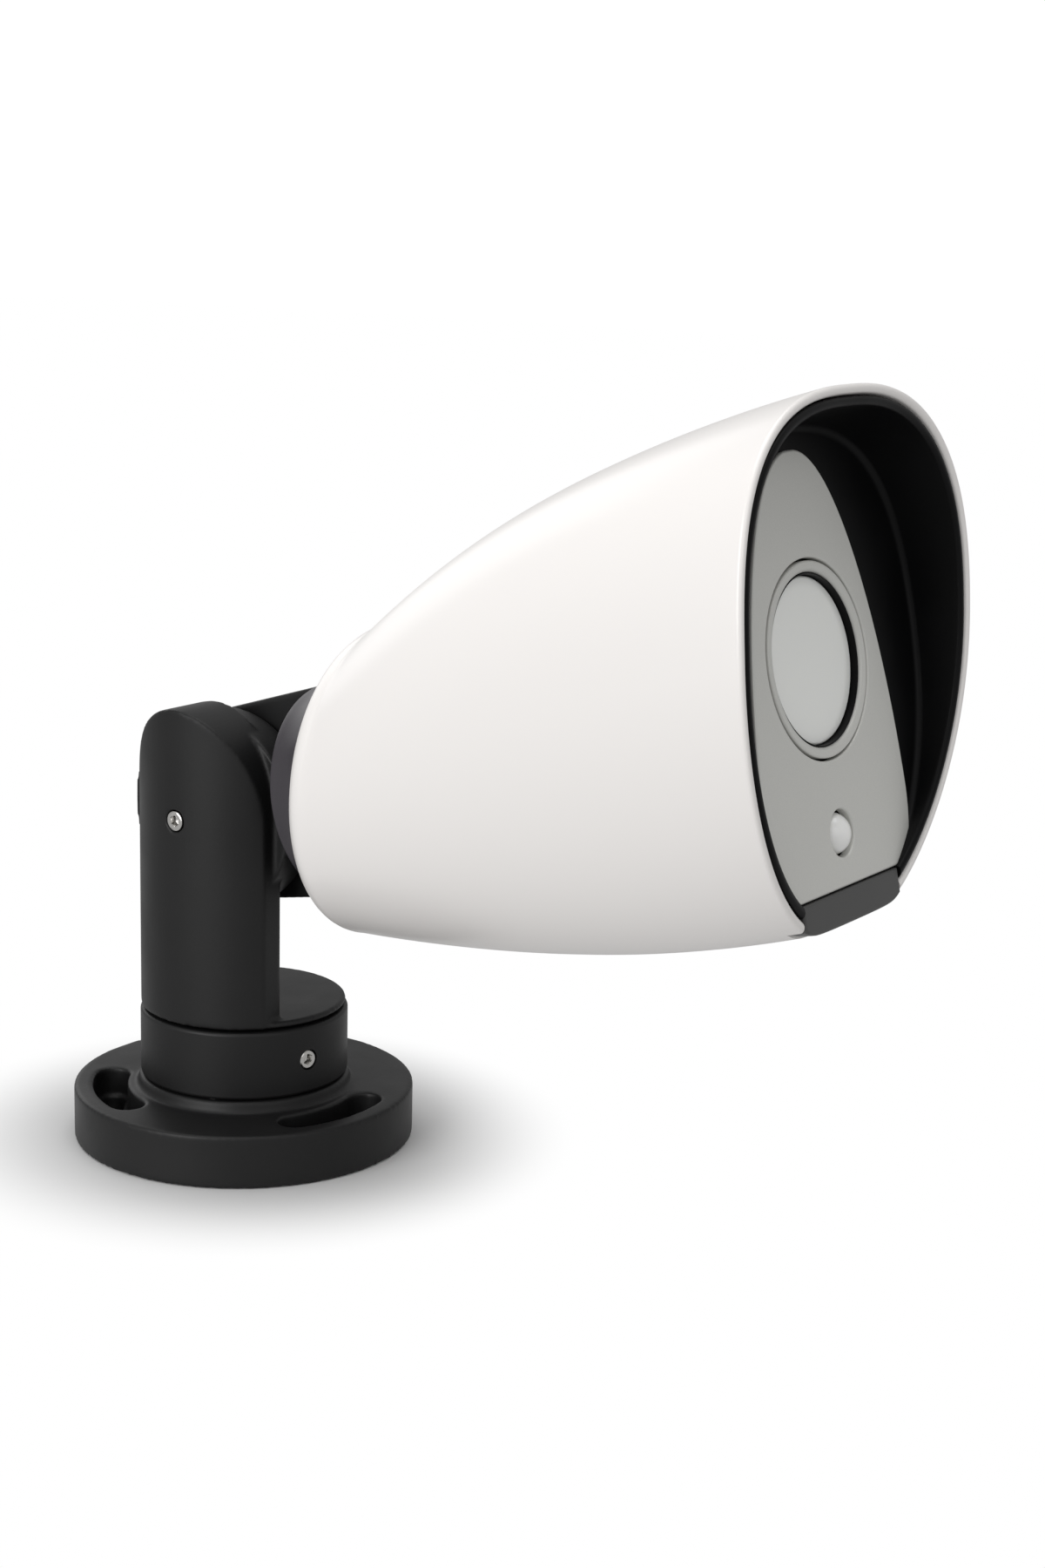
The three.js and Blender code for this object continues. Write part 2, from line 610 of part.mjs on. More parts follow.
const POST_R = 3.4;
const housingScrews = [[-1, -1], [1, -1], [1, 1], [-1, 1]].map(
  ([i, j]) => [i * HOUSING_SCREW_X, CAP_U + j * HOUSING_SCREW_U]);

function buildRearCap() {
  const shares = [1, 0.7, 0.35, 0];
  const outer = skin([rearOpening(SEAM, CAP_LIP), ...shares.map((t) => flareRing(t, 0))], false);
  const inner = skin([
    rearOpening(SEAM + CAP_WALL, CAP_LIP + CUT), ...shares.map((t) => flareRing(t, CAP_WALL)),
  ], false);
  let cap = outer.subtract(inner);
  cap = cap.subtract(barF(PIVOT_BORE_R, capRearFace - CAP_WALL, capFloor + CAP_WALL, CABLE_X, 0));
  for (const u of [-KNUCKLE_SCREW_U, KNUCKLE_SCREW_U]) {
    const back = capRearFace - 2 * CAP_WALL;
    cap = cap.subtract(barF(SCREW_R + FIT, back, capFloor + CUT, KNUCKLE_SCREW_X, u));
  }
  for (const [x, u] of housingScrews) {
    cap = cap.add(barF(POST_R, capFloor - 1, HOUSING_BACK_F - FIT, x, u))
      .subtract(barF(SCREW_R + FIT, HOUSING_BACK_F - 10, HOUSING_BACK_F, x, u));
  }
  return cap;
}

function buildKnuckle() {
  const length = capRearFace - FIT;
  const neck = skin([circleRing(0, KNUCKLE_R, 0), circleRing(length, NECK_END_R, NECK_END_U)], false);
  const barrel = barX(KNUCKLE_R, -KNUCKLE_R, KNUCKLE_R, 0, 0, ROUND)
    .intersect(barF(KNUCKLE_R, -KNUCKLE_R, 1, 0, 0, ROUND));
  const reach = NECK_END_R + NECK_END_U + CUT;
  const side = blockF(knuckleFaceX, reach, -reach, length + CUT, -reach, reach);
  let knuckle = neck.add(barrel).intersect(side);
  knuckle = knuckle
    .subtract(barX(PIVOT_R + FIT, knuckleFaceX - CUT, pivotHeadX + CUT, 0, 0, 24))
    .subtract(barX(PIVOT_HEAD_R + FIT, pivotHeadX - FIT, KNUCKLE_R + CUT, 0, 0, 24))
    .subtract(barX(WASHER_R + FIT, knuckleFaceX - CUT, washerX1 + FIT, 0, 0, 24))
    .subtract(barF(PIVOT_BORE_R, 0, length + CUT, CABLE_X, 0));
  for (const u of [-KNUCKLE_SCREW_U, KNUCKLE_SCREW_U]) {
    knuckle = knuckle.subtract(barF(SCREW_R + FIT, length - 9, length + CUT, KNUCKLE_SCREW_X, u));
  }
  return knuckle;
}

// cheese-head screw along the head's axis; its head is at the front end
function backScrew(x, u, headF, length) {
  const shank = barF(SCREW_R, headF - length, headF + 0.2, x, u, 8);
  const screwHead = barF(SCREW_HEAD_R, headF, headF + SCREW_HEAD_T, x, u, 12);
  const socket = barF(SCREW_R, headF + SCREW_HEAD_T / 2, headF + SCREW_HEAD_T + CUT, x, u, 6);
  return shank.add(screwHead).subtract(socket);
}

function buildRear() {
  addPart(head, 'knuckle', buildKnuckle(), 'castBlack');
  const shaft = barX(PIVOT_R, pivotEndX, pivotHeadX + 0.2, 0, 0, 24);
  const flangeHead = barX(PIVOT_HEAD_R, pivotHeadX, pivotHeadX + PIVOT_HEAD_T, 0, 0, 24);
  const bore = barX(PIVOT_BORE_R, pivotEndX - CUT, pivotHeadX - 2, 0, 0)
    .add(barF(PIVOT_BORE_R - 1, 0, PIVOT_HEAD_R + CUT, CABLE_X, 0));
  const wayDown = block(channelX - ARM_CHANNEL_R, channelX + ARM_CHANNEL_R, -3, 3, -PIVOT_R - CUT, 0);
  addPart(head, 'tilt_pivot', shaft.add(flangeHead).subtract(bore).subtract(wayDown), 'steel');
  const washer = barX(WASHER_R, washerX0, washerX1, 0, 0, 24)
    .subtract(barX(PIVOT_R + FIT, washerX0 - CUT, washerX1 + CUT, 0, 0, 24));
  addPart(head, 'friction_washer', washer, 'rubber');
  const plug = barX(PIVOT_HEAD_R, pivotHeadX + PIVOT_HEAD_T + FIT, KNUCKLE_R - 2.2, 0, 0, 24);
  const hollow = barX(PIVOT_HEAD_R - 2, pivotHeadX + PIVOT_HEAD_T - CUT, KNUCKLE_R - 4.4, 0, 0, 24);
  addPart(head, 'pivot_cover', plug.subtract(hollow), 'capBlack');
  addPart(head, 'rear_cap', buildRearCap(), 'capBlack');
  [-KNUCKLE_SCREW_U, KNUCKLE_SCREW_U].forEach((u, i) => {
    const screw = backScrew(KNUCKLE_SCREW_X, u, capFloor + FIT + 0.4, CAP_WALL + 8);
    addPart(head, `knuckle_screw_${i + 1}`, screw, 'steel');
  });
  housingScrews.forEach(([x, u], i) => {
    const screw = backScrew(x, u, HOUSING_BACK_F + HOUSING_WALL + FIT, HOUSING_WALL + 8);
    addPart(head, `housing_screw_${i + 1}`, screw, 'steel');
  });
}

// ---------------------------------------------------------------- head: shell, liner and front
const linerInset = SHELL_WALL + SEAM;
const plateInset = linerInset + LINER_WALL + FIT;
const plateFront = FACE_F - PLATE_SETBACK;
const plateBack = plateFront - PLATE_T;
const panelBack = FACE_F - PANEL_T;
const windowFrontF = FACE_F - WINDOW_SETBACK;
const windowBackF = windowFrontF - WINDOW_T;

function buildShell() {
  const tube = skin([...shellRings(0), ...shellRings(SHELL_WALL).reverse()], true);
  return tube.subtract(hoodTrim(0)).subtract(chinZone(FIT));
}

function buildLiner() {
  const back = FACE_F - LINER_BACK;
  const outer = headForm(linerInset, back, HOOD_TOP_F + 10);
  const inner = headForm(linerInset + LINER_WALL, back - CUT, HOOD_TOP_F + 11);
  return outer.subtract(inner).subtract(hoodTrim(-0.2)).subtract(chinZone(FIT));
}

// face panel outline; grow is positive for the pocket that it sits in
function panelOutline(grow) {
  const foot = FACE_U + PANEL_BOTTOM - grow;
  const wide = FACE_U + PANEL_WIDE_U;
  const w = PANEL_HALF_W + grow;
  const apex = FACE_U + PANEL_APEX + grow;
  const shape = new THREE.Shape();
  shape.moveTo(-PANEL_FOOT_HALF_W, foot);
  shape.lineTo(PANEL_FOOT_HALF_W, foot);
  shape.bezierCurveTo(PANEL_FOOT_HALF_W + 6, foot, w, foot + 7, w, wide);
  shape.bezierCurveTo(w - 1.5, wide + 40, 19 + grow, apex - 1.8, 2, apex);
  shape.lineTo(-2, apex);
  shape.bezierCurveTo(-19 - grow, apex - 1.8, -w + 1.5, wide + 40, -w, wide);
  shape.bezierCurveTo(-w, foot + 7, -PANEL_FOOT_HALF_W - 6, foot, -PANEL_FOOT_HALF_W, foot);
  return shape;
}

function buildBezel() {
  const plate = headForm(plateInset, plateBack, plateFront, HEAD_POINTS);
  const chinTop = FACE_U + PANEL_BOTTOM - SEAM;
  const slope = plateX([
    [FACE_F + 0.2, chinTop], [FACE_F + 0.2 + CHIN_LEAN, FRONT_BOTTOM_U - 12],
    [FACE_F + 60, FRONT_BOTTOM_U - 12], [FACE_F + 60, chinTop + 20], [FACE_F + 0.2, chinTop + 20],
  ], -60, 60);
  const chin = headForm(0, FACE_F - CHIN_DEPTH, FACE_F + 10)
    .intersect(chinZone(0))
    .subtract(slope);
  const pocket = plateF(panelOutline(SEAM), panelBack - FIT, FACE_F + 20);
  return plate.add(chin)
    .subtract(pocket)
    .subtract(barF(WINDOW_R + FIT, plateBack - CUT, FACE_F, 0, FACE_U, ROUND))
    .subtract(barF(DOME_HOLE_R, plateBack - CUT, FACE_F, 0, FACE_U + DOME_U));
}

function buildFront() {
  addPart(head, 'outer_shell', buildShell(), 'shellWhite');
  addPart(head, 'hood_liner', buildLiner(), 'hoodBlack');
  addPart(head, 'front_bezel', buildBezel(), 'hoodBlack');
  const panel = plateF(panelOutline(0), panelBack, FACE_F)
    .intersect(headForm(plateInset + FIT, panelBack - CUT, FACE_F + CUT))
    .subtract(barF(RING_OUT_R + FIT, panelBack - CUT, FACE_F + CUT, 0, FACE_U, ROUND))
    .subtract(barF(DOME_HOLE_R, panelBack - CUT, FACE_F + CUT, 0, FACE_U + DOME_U));
  addPart(head, 'face_panel', panel, 'panelGrey');
  const ring = barF(RING_OUT_R, panelBack, FACE_F - 0.1, 0, FACE_U, ROUND)
    .subtract(barF(RING_IN_R, panelBack - CUT, FACE_F + CUT, 0, FACE_U, ROUND));
  addPart(head, 'window_ring', ring, 'panelGrey');
  addPart(head, 'window_disc', barF(WINDOW_R, windowBackF, windowFrontF, 0, FACE_U, ROUND), 'windowPale');
  const gasket = barF(WINDOW_R, windowBackF - FIT - 1.2, windowBackF - FIT, 0, FACE_U, 24)
    .subtract(barF(WINDOW_R - 1.8, windowBackF - 3, windowBackF + CUT, 0, FACE_U, 24));
  addPart(head, 'window_gasket', gasket, 'rubber');
  const ball = new THREE.SphereGeometry(DOME_R, 16, 10);
  const domeSeat = FACE_F + DOME_STAND - DOME_R;
  ball.translate(0, -domeSeat, FACE_U + DOME_U);
  const behind = blockF(-9, 9, domeSeat - 9, domeSeat, FACE_U + DOME_U - 9, FACE_U + DOME_U + 9);
  const dome = toSolid(ball).subtract(behind)
    .add(barF(DOME_HOLE_R - FIT, domeSeat - 1.2, domeSeat + 0.1, 0, FACE_U + DOME_U));
  addPart(head, 'sensor_dome', dome, 'windowPale');
}

// ---------------------------------------------------------------- head: sealed inner assembly
const housingFront = plateBack - 2.2;
const boardF = FACE_F - 43;
const HOUSING_POINTS = 24;

function buildHousing() {
  const outer = headForm(HOUSING_INSET, HOUSING_BACK_F, housingFront, HOUSING_POINTS);
  const inner = headForm(HOUSING_INSET + HOUSING_WALL, HOUSING_BACK_F + HOUSING_WALL, housingFront + CUT,
    HOUSING_POINTS);
  let housing = outer.subtract(inner)
    .subtract(barF(PIVOT_BORE_R, HOUSING_BACK_F - CUT, HOUSING_BACK_F + HOUSING_WALL + CUT, 0, CAP_U));
  const wallFront = HOUSING_BACK_F + HOUSING_WALL + CUT;
  for (const [x, u] of housingScrews) {
    housing = housing.subtract(barF(SCREW_R + FIT, HOUSING_BACK_F - CUT, wallFront, x, u));
  }
  return housing;
}

function buildInside() {
  addPart(head, 'inner_housing', buildHousing(), 'hoodBlack');
  const seal = headForm(HOUSING_INSET + 0.3, housingFront + FIT, plateBack - FIT, HOUSING_POINTS)
    .subtract(headForm(HOUSING_INSET + HOUSING_WALL, housingFront, plateBack + CUT, HOUSING_POINTS));
  addPart(head, 'housing_seal', seal, 'rubber');
  addPart(head, 'sensor_board', blockF(-19, 19, boardF, boardF + BOARD_T, FACE_U - 19, FACE_U + 19), 'board');
  const mountFront = boardF + BOARD_T + FIT + 9;
  const mount = blockF(-11, 11, boardF + BOARD_T + FIT, mountFront, FACE_U - 11, FACE_U + 11)
    .subtract(barF(LENS_R - 2, boardF, mountFront + CUT, 0, FACE_U, 24));
  addPart(head, 'lens_mount', mount, 'hoodBlack');
  addPart(head, 'image_sensor',
    blockF(-3.6, 3.6, boardF + BOARD_T + FIT, boardF + BOARD_T + FIT + 1.4, FACE_U - 3, FACE_U + 3), 'glass');
  const barrelBack = mountFront + FIT;
  const barrelFront = windowBackF - 3;
  const barrel = barF(LENS_R, barrelBack, barrelFront, 0, FACE_U, 24)
    .subtract(barF(LENS_R - 2, barrelBack - CUT, barrelFront + CUT, 0, FACE_U, 24));
  addPart(head, 'lens_barrel', barrel, 'hoodBlack');
  addPart(head, 'lens_glass',
    barF(LENS_R - 2 - FIT, barrelFront - 4, barrelFront - 1, 0, FACE_U, 24), 'glass');
  const chassisF = boardF - FIT - CHASSIS_T;
  const chassis = headForm(HOUSING_INSET + HOUSING_WALL + CHASSIS_GAP, chassisF, boardF - FIT, HOUSING_POINTS)
    .subtract(barF(LENS_R, chassisF - CUT, boardF + CUT, 0, FACE_U, 24))
    .subtract(blockF(-14, 14, chassisF - CUT, boardF + CUT, -22, -8));
  addPart(head, 'chassis_plate', chassis, 'steel');
  addPart(head, 'main_board', blockF(-20, 20, 74, chassisF - FIT, 6, 6 + BOARD_T), 'board');
  const lampF = windowBackF - 8;
  let lampBoard = barF(WINDOW_R - 1, lampF, lampF + BOARD_T, 0, FACE_U, 24)
    .subtract(barF(LENS_R + FIT, lampF - CUT, lampF + BOARD_T + CUT, 0, FACE_U, 24));
  for (let i = 0; i < LAMP_COUNT; i += 1) {
    const angle = (2 * Math.PI * i) / LAMP_COUNT;
    const [x, u] = [LAMP_PITCH_R * Math.cos(angle), FACE_U + LAMP_PITCH_R * Math.sin(angle)];
    lampBoard = lampBoard.add(barF(LAMP_R, lampF + BOARD_T - 0.2, lampF + BOARD_T + 2.4, x, u, 10));
  }
  addPart(head, 'lamp_board', lampBoard, 'board');
  const domeBoardF = plateBack - 5;
  addPart(head, 'dome_board',
    blockF(-8, 8, domeBoardF, domeBoardF + BOARD_T, FACE_U + DOME_U - 7, FACE_U + DOME_U + 9), 'board');
}

buildBase();
buildArmGroup();
buildRear();
buildFront();
buildInside();

export default camera;
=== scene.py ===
import json
import math

import bmesh
import bpy
from mathutils import Matrix, Vector


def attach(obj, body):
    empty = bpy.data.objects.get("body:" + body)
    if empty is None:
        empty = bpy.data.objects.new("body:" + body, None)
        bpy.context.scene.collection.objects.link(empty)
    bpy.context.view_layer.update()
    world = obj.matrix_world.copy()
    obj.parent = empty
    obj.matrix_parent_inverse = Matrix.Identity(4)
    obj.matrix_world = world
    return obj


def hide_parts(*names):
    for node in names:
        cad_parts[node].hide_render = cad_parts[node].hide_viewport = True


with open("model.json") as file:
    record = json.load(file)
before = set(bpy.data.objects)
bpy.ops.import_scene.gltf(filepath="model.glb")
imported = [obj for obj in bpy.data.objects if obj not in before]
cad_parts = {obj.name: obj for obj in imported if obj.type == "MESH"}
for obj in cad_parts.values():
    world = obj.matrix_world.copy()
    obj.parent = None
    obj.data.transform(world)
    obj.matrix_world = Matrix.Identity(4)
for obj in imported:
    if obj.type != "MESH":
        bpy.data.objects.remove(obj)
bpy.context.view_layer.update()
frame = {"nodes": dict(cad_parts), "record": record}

# ---------------------------------------------------------------- dimensions, in millimetres
MM = 0.001
CUT = 1  # how far a cutting tool runs past the face it opens
CAST_CELL = 0.5  # cell size of the castings' meshes

# mounting flange
FLANGE_R, FLANGE_H = 45, 13.8
HUB_LOW_R, HUB_TOP_R, HUB_TOP = 28.4, 27.6, 16.9
CABLE_R = 6
GASKET_IN_R, GASKET_OUT_R = 12, 20
GASKET_T, GASKET_GROOVE = 1.2, 1.5
PLUG_R, PLUG_T = CABLE_R - 0.3, 5
SLOT_R, SLOT_HALF_DEG = 35.5, 20
SLOT_ANGLES = [-98 + 120 * i for i in range(3)]
THROUGH_HALF_W = 3.25
RECESS_HALF_W, RECESS_FLOOR = 4.5, 6
SCREW_ANGLES = [a + 60 for a in SLOT_ANGLES]
SCREW_PITCH_R = 24.4
SCREW_BORE_R, SCREW_BORE_TOP = 1.9, 14
SCREW_HEAD_R, SCREW_HEAD_TOP = 3.4, 5

# collar and arm
COLLAR_R, COLLAR_LOW, COLLAR_TOP = 27.4, 17.2, 35.2
COLLAR_BORE_R = 19.3
CLIP_ROOM_R, CLIP_ROOM_TOP = 21.8, 20.7
LOCK_SCREW_R = 2.6
PAN_SCREW_DEG, PAN_SCREW_BORE_R = -102, 2.75
FOOT_R, FOOT_LOW, FOOT_TOP = 26.8, 35.9, 37.5
SPIGOT_R, SPIGOT_DEPTH = 18.8, 5
ARM_R, ARM_HALF_W, ARM_FACE_X, ARM_RISE = 27.2, 21.2, -10.5, 28.6
BOSS_R, BOSS_X = 26, -3
PIVOT_BORE_R, PIVOT_BORE_X = 8.7, -23
TILT_SCREW_BORE_R = 2.85
TILT_Z = 89.6
PITCH = math.radians(12)  # how far the head is tipped up at rest

# knuckle and rear cap; in the head, F is forward from the tilt axis and U is up
KNUCKLE_X, KNUCKLE_R = -2.4, 25.2
NECK_R, NECK_U, NECK_F = 27.2, 1.2, 32.7
COVER_R, COVER_LOW, COVER_TOP = 11.1, 17.4, 23
COVER_BORE_R, COVER_BORE_X = 11.5, 16
CAP_R, CAP_F, CAP_FLARE = 27.6, 33, 1.9
CAP_GAP, CAP_STAND, CAP_LIP = 0.4, 0.8, 8
CAP_BORE_R, CAP_BORE_F = 20, 48

# shell and hood
REAR_F, FACE_F, TIP_F = 41.2, 175, 192.2
REAR_HALF_W, FRONT_HALF_W = 33, 54.05
REAR_TOP_U, FRONT_TOP_U = 38, 80.6
REAR_BOTTOM_U, FRONT_BOTTOM_U = -33.5, -34.4
REAR_WAIST_U, FRONT_WAIST_U = 2, 27
REAR_SQUARE, FRONT_SQUARE = 2.1, 2.6  # exponent of the upper outline, 2 is an ellipse
SWELL = 0.7  # convexity of the top and sides
BOTTOM_SAG = 7  # how far the underside bellies between its two ends
BOTTOM_FLAT = 0.085  # share of the lower half cut off flat at the front
FLAT_BLEND = 0.9
REAR_LEAN, LEAN_SHARE = 0.31, 0.6  # the rear opening leans back at its lower edge, and the lean fades out
ROUND_R, ROUND_LOW_DEG, ROUND_HIGH_DEG = 9, 56, 30  # rounding where the shell turns in to the cap
WALL = 2.2
SEAM = 0.4
LINER_OUT, LINER_IN, LINER_BACK, LINER_LIP = WALL + SEAM, 4.8, 12, 1.0

# front
FACE_U = 22
HOOD_AHEAD = ((FRONT_BOTTOM_U, 0.4), (FACE_U, 11.7), (FRONT_TOP_U, 17.2))  # height, lead over the panel
PANEL_T = 2.6
PANEL_HALF_W, PANEL_FOOT_HALF_W = 33, 24
PANEL_APEX, PANEL_WIDE, PANEL_FOOT = 46.5, -34, -51  # heights from the window's centre
WINDOW_R, WINDOW_T, WINDOW_BACK = 18.9, 3, 2.2
RING_IN_R, RING_R = 19.5, 22
DOME_U, DOME_R, DOME_HOLE_R = FACE_U - 39.1, 4.9, 5.4
CHIN_TOP, CHIN_HALF_W, CHIN_DEPTH = FACE_U - 51.4, 22.5, 4

COLUMNS = 176
ANGLES = [2 * math.pi * (i + 0.5) / COLUMNS for i in range(COLUMNS)]


def lerp(a, b, t):
    return a + (b - a) * t


# ---------------------------------------------------------------- placing
STRAIGHT = Matrix.Scale(MM, 4)
AT_TILT = Matrix.Translation((0, 0, TILT_Z * MM))
# a head piece is drawn in x, up and forward
HEAD = AT_TILT @ Matrix((
    (1, 0, 0, 0),
    (0, math.sin(PITCH), -math.cos(PITCH), 0),
    (0, math.cos(PITCH), math.sin(PITCH), 0),
    (0, 0, 0, 1),
)) @ STRAIGHT
# a piece turned about the tilt axis is drawn about Z
ALONG_X = AT_TILT @ Matrix.Rotation(math.radians(90), 4, "Y") @ STRAIGHT
# an outline drawn in x and y stands in Y and Z, and runs along X
SIDEWAYS = Matrix(((0, 0, 1, 0), (1, 0, 0, 0), (0, 1, 0, 0), (0, 0, 0, 1))) @ STRAIGHT


def around_z(degrees, z):
    """For a piece drawn about Z that points outwards from the pan axis."""
    turn = Matrix.Rotation(math.radians(degrees), 4, "Z") @ Matrix.Rotation(math.radians(90), 4, "Y")
    return Matrix.Translation((0, 0, z * MM)) @ turn @ STRAIGHT


# ---------------------------------------------------------------- meshes
def mended(mesh, merge=1e-7, fill=False):
    """Merges points that coincide, closes open ends if asked, and turns the faces outwards."""
    bm = bmesh.new()
    bm.from_mesh(mesh)
    bmesh.ops.remove_doubles(bm, verts=bm.verts, dist=merge)
    if fill:
        bmesh.ops.holes_fill(bm, edges=[e for e in bm.edges if e.is_boundary])
    bmesh.ops.recalc_face_normals(bm, faces=bm.faces)
    bm.to_mesh(mesh)
    bm.free()
    return mesh


def mesh_from(verts, faces, place=STRAIGHT):
    mesh = bpy.data.meshes.new("m")
    mesh.from_pydata([tuple(v) for v in verts], [], faces)
    mesh.transform(place)
    return mended(mesh)


def loose(data, name="tmp"):
    obj = bpy.data.objects.new(name, data)
    bpy.context.scene.collection.objects.link(obj)
    return obj


def drop(*objs):
    for obj in objs:
        bpy.data.objects.remove(obj)


def baked(obj):
    """A mesh copy of an object with its modifiers applied."""
    bpy.context.view_layer.update()
    depsgraph = bpy.context.evaluated_depsgraph_get()
    return bpy.data.meshes.new_from_object(obj.evaluated_get(depsgraph))


def carve(mesh, tools, operation="DIFFERENCE"):
    target = loose(mesh)
    cutters = [loose(m) for m in tools]
    for cutter in cutters:
        mod = target.modifiers.new("b", "BOOLEAN")
        mod.operation = operation
        mod.solver = "EXACT"
        mod.object = cutter
    result = baked(target)
    drop(target, *cutters)
    return result


def join(*meshes):
    bm = bmesh.new()
    for mesh in meshes:
        bm.from_mesh(mesh)
    out = bpy.data.meshes.new("m")
    bm.to_mesh(out)
    bm.free()
    return out


def cast(mesh, rounds):
    """Remeshes a solid evenly and softens its edges, as a casting has."""
    obj = loose(mesh)
    mod = obj.modifiers.new("r", "REMESH")
    mod.mode = "VOXEL"
    mod.voxel_size = CAST_CELL * MM
    mod.adaptivity = 0
    soft = obj.modifiers.new("s", "SMOOTH")
    soft.factor = 0.5
    soft.iterations = rounds
    result = baked(obj)
    drop(obj)
    return result


def piece(name, mesh, body, mat, replaced=(), sharp=35):
    """Hands a mesh in; edges above the sharp angle stay sharp, and with 0 all is smooth, as a casting is."""
    mesh.name = name
    mesh.materials.clear()
    mesh.materials.append(mat)
    mesh.shade_smooth()
    obj = loose(mesh, name)
    if sharp:
        mesh.set_sharp_from_angle(angle=math.radians(sharp))
        mod = obj.modifiers.new("normals", "WEIGHTED_NORMAL")
        mod.mode = "FACE_AREA"
        mod.keep_sharp = True
    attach(obj, body)
    if replaced:
        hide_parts(*replaced)


# ---------------------------------------------------------------- forms
def lathe(corners, steps=128, place=STRAIGHT, closed=True):
    """Body of revolution about Z from [radius, height] corners."""
    verts, faces = [], []
    for i in range(steps):
        a = 2 * math.pi * i / steps
        verts += [(r * math.cos(a), r * math.sin(a), z) for r, z in corners]
    count = len(corners)
    spans = count if closed else count - 1
    for i in range(steps):
        a, b = i * count, ((i + 1) % steps) * count
        for j in range(spans):
            k = (j + 1) % count
            if corners[j][0] < 1e-6 and corners[k][0] < 1e-6:
                continue
            faces.append((a + j, b + j, b + k, a + k))
    return mesh_from(verts, faces, place)


def rounded(corners, radius, steps=5):
    """Corners of a closed outline, each rounded; radius is one number or one for each corner."""
    count = len(corners)
    radii = radius if isinstance(radius, list) else [radius] * count
    out = []
    for i, r in enumerate(radii):
        if r <= 0:
            out.append(corners[i])
            continue
        here, before, after = [Vector(corners[k % count]) for k in (i, i - 1, i + 1)]
        to_b, to_a = (before - here).normalized(), (after - here).normalized()
        half = to_b.angle(to_a) / 2
        reach = min(r / math.tan(half), (before - here).length * 0.49, (after - here).length * 0.49)
        real = reach * math.tan(half)
        centre = here + (to_b + to_a).normalized() * (real / math.sin(half))
        start, end = here + to_b * reach, here + to_a * reach
        a0 = math.atan2(start.y - centre.y, start.x - centre.x)
        a1 = math.atan2(end.y - centre.y, end.x - centre.x)
        while a1 - a0 > math.pi:
            a1 -= 2 * math.pi
        while a1 - a0 < -math.pi:
            a1 += 2 * math.pi
        for t in range(steps + 1):
            a = lerp(a0, a1, t / steps)
            out.append((centre.x + real * math.cos(a), centre.y + real * math.sin(a)))
    return out


def circle(r, y, count=96):
    return [(r * math.cos(2 * math.pi * i / count), y + r * math.sin(2 * math.pi * i / count))
            for i in range(count)]


def bezier(a, b, c, d, steps):
    """The points of a cubic curve from a to d, without a itself."""
    out = []
    for i in range(1, steps + 1):
        t = i / steps
        weights = ((1 - t) ** 3, 3 * (1 - t) ** 2 * t, 3 * (1 - t) * t * t, t ** 3)
        out.append([sum(w * p[k] for w, p in zip(weights, (a, b, c, d))) for k in (0, 1)])
    return out


def plate(outlines, low, high, edge, place=HEAD):
    """Flat plate with holes and rounded edges; the first outline is the outer one."""
    curve = bpy.data.curves.new("c", "CURVE")
    curve.dimensions = "2D"
    curve.fill_mode = "BOTH"
    curve.extrude = (high - low) / 2 - edge
    curve.bevel_depth = edge
    curve.bevel_resolution = 4
    curve.offset = -edge
    for outline in outlines:
        spline = curve.splines.new("POLY")
        spline.points.add(len(outline) - 1)
        for point, (x, y) in zip(spline.points, outline):
            point.co = (x, y, 0, 1)
        spline.use_cyclic_u = True
    obj = loose(curve)
    mesh = baked(obj)
    drop(obj)
    mesh.transform(place @ Matrix.Translation((0, 0, (low + high) / 2)))
    return mended(mesh, 1e-6)


def block(x0, x1, y0, y1, z0, z1, place=HEAD):
    verts = [(x, y, z) for x in (x0, x1) for y in (y0, y1) for z in (z0, z1)]
    faces = [(0, 1, 3, 2), (4, 6, 7, 5), (0, 4, 5, 1), (2, 3, 7, 6), (0, 2, 6, 4), (1, 5, 7, 3)]
    return mesh_from(verts, faces, place)


def bar(r, low, high, place=STRAIGHT, steps=96):
    return lathe([(0, low), (r, low), (r, high), (0, high)], steps, place, False)


def prism(outline, low, high, place=STRAIGHT):
    verts = [(x, y, z) for z in (low, high) for x, y in outline]
    count = len(outline)
    faces = [tuple(range(count)), tuple(range(2 * count - 1, count - 1, -1))]
    faces += [(i, (i + 1) % count, count + (i + 1) % count, count + i) for i in range(count)]
    return mesh_from(verts, faces, place)


def skin(rings, place=HEAD, close=False):
    """Quads over rings of equal length, each ring closed."""
    count = len(rings[0])
    verts = [p for ring in rings for p in ring]
    faces = []
    spans = len(rings) if close else len(rings) - 1
    for i in range(spans):
        a, b = i * count, ((i + 1) % len(rings)) * count
        for j in range(count):
            k = (j + 1) % count
            faces.append((a + j, b + j, b + k, a + k))
    return mesh_from(verts, faces, place)


def hoop(r, up, forward):
    return [Vector((r * math.cos(a), up + r * math.sin(a), forward)) for a in ANGLES]


def socket_screw(length, place, hex_r=1.45, depth=2.0, steps=48):
    """Grub screw from -length to 0 along Z, with a hexagon socket in its end at 0."""
    turn = [2 * math.pi * i / steps for i in range(steps)]

    def ring(radius, z):
        return [(radius * math.cos(a), radius * math.sin(a), z) for a in turn]

    def hexagon(grow, z):
        out = []
        for a in turn:
            r = hex_r * math.cos(math.pi / 6) / math.cos(a % (math.pi / 3) - math.pi / 6) + grow
            out.append((r * math.cos(a), r * math.sin(a), z))
        return out

    r = LOCK_SCREW_R
    rings = [ring(0.001, -length), ring(r, -length), ring(r, -0.45), ring(r - 0.12, -0.18), ring(r - 0.42, 0)]
    rings += [hexagon(0.15, 0), hexagon(0, -0.15), hexagon(0, -depth), ring(0.001, -depth - 0.5)]
    return skin(rings, place)


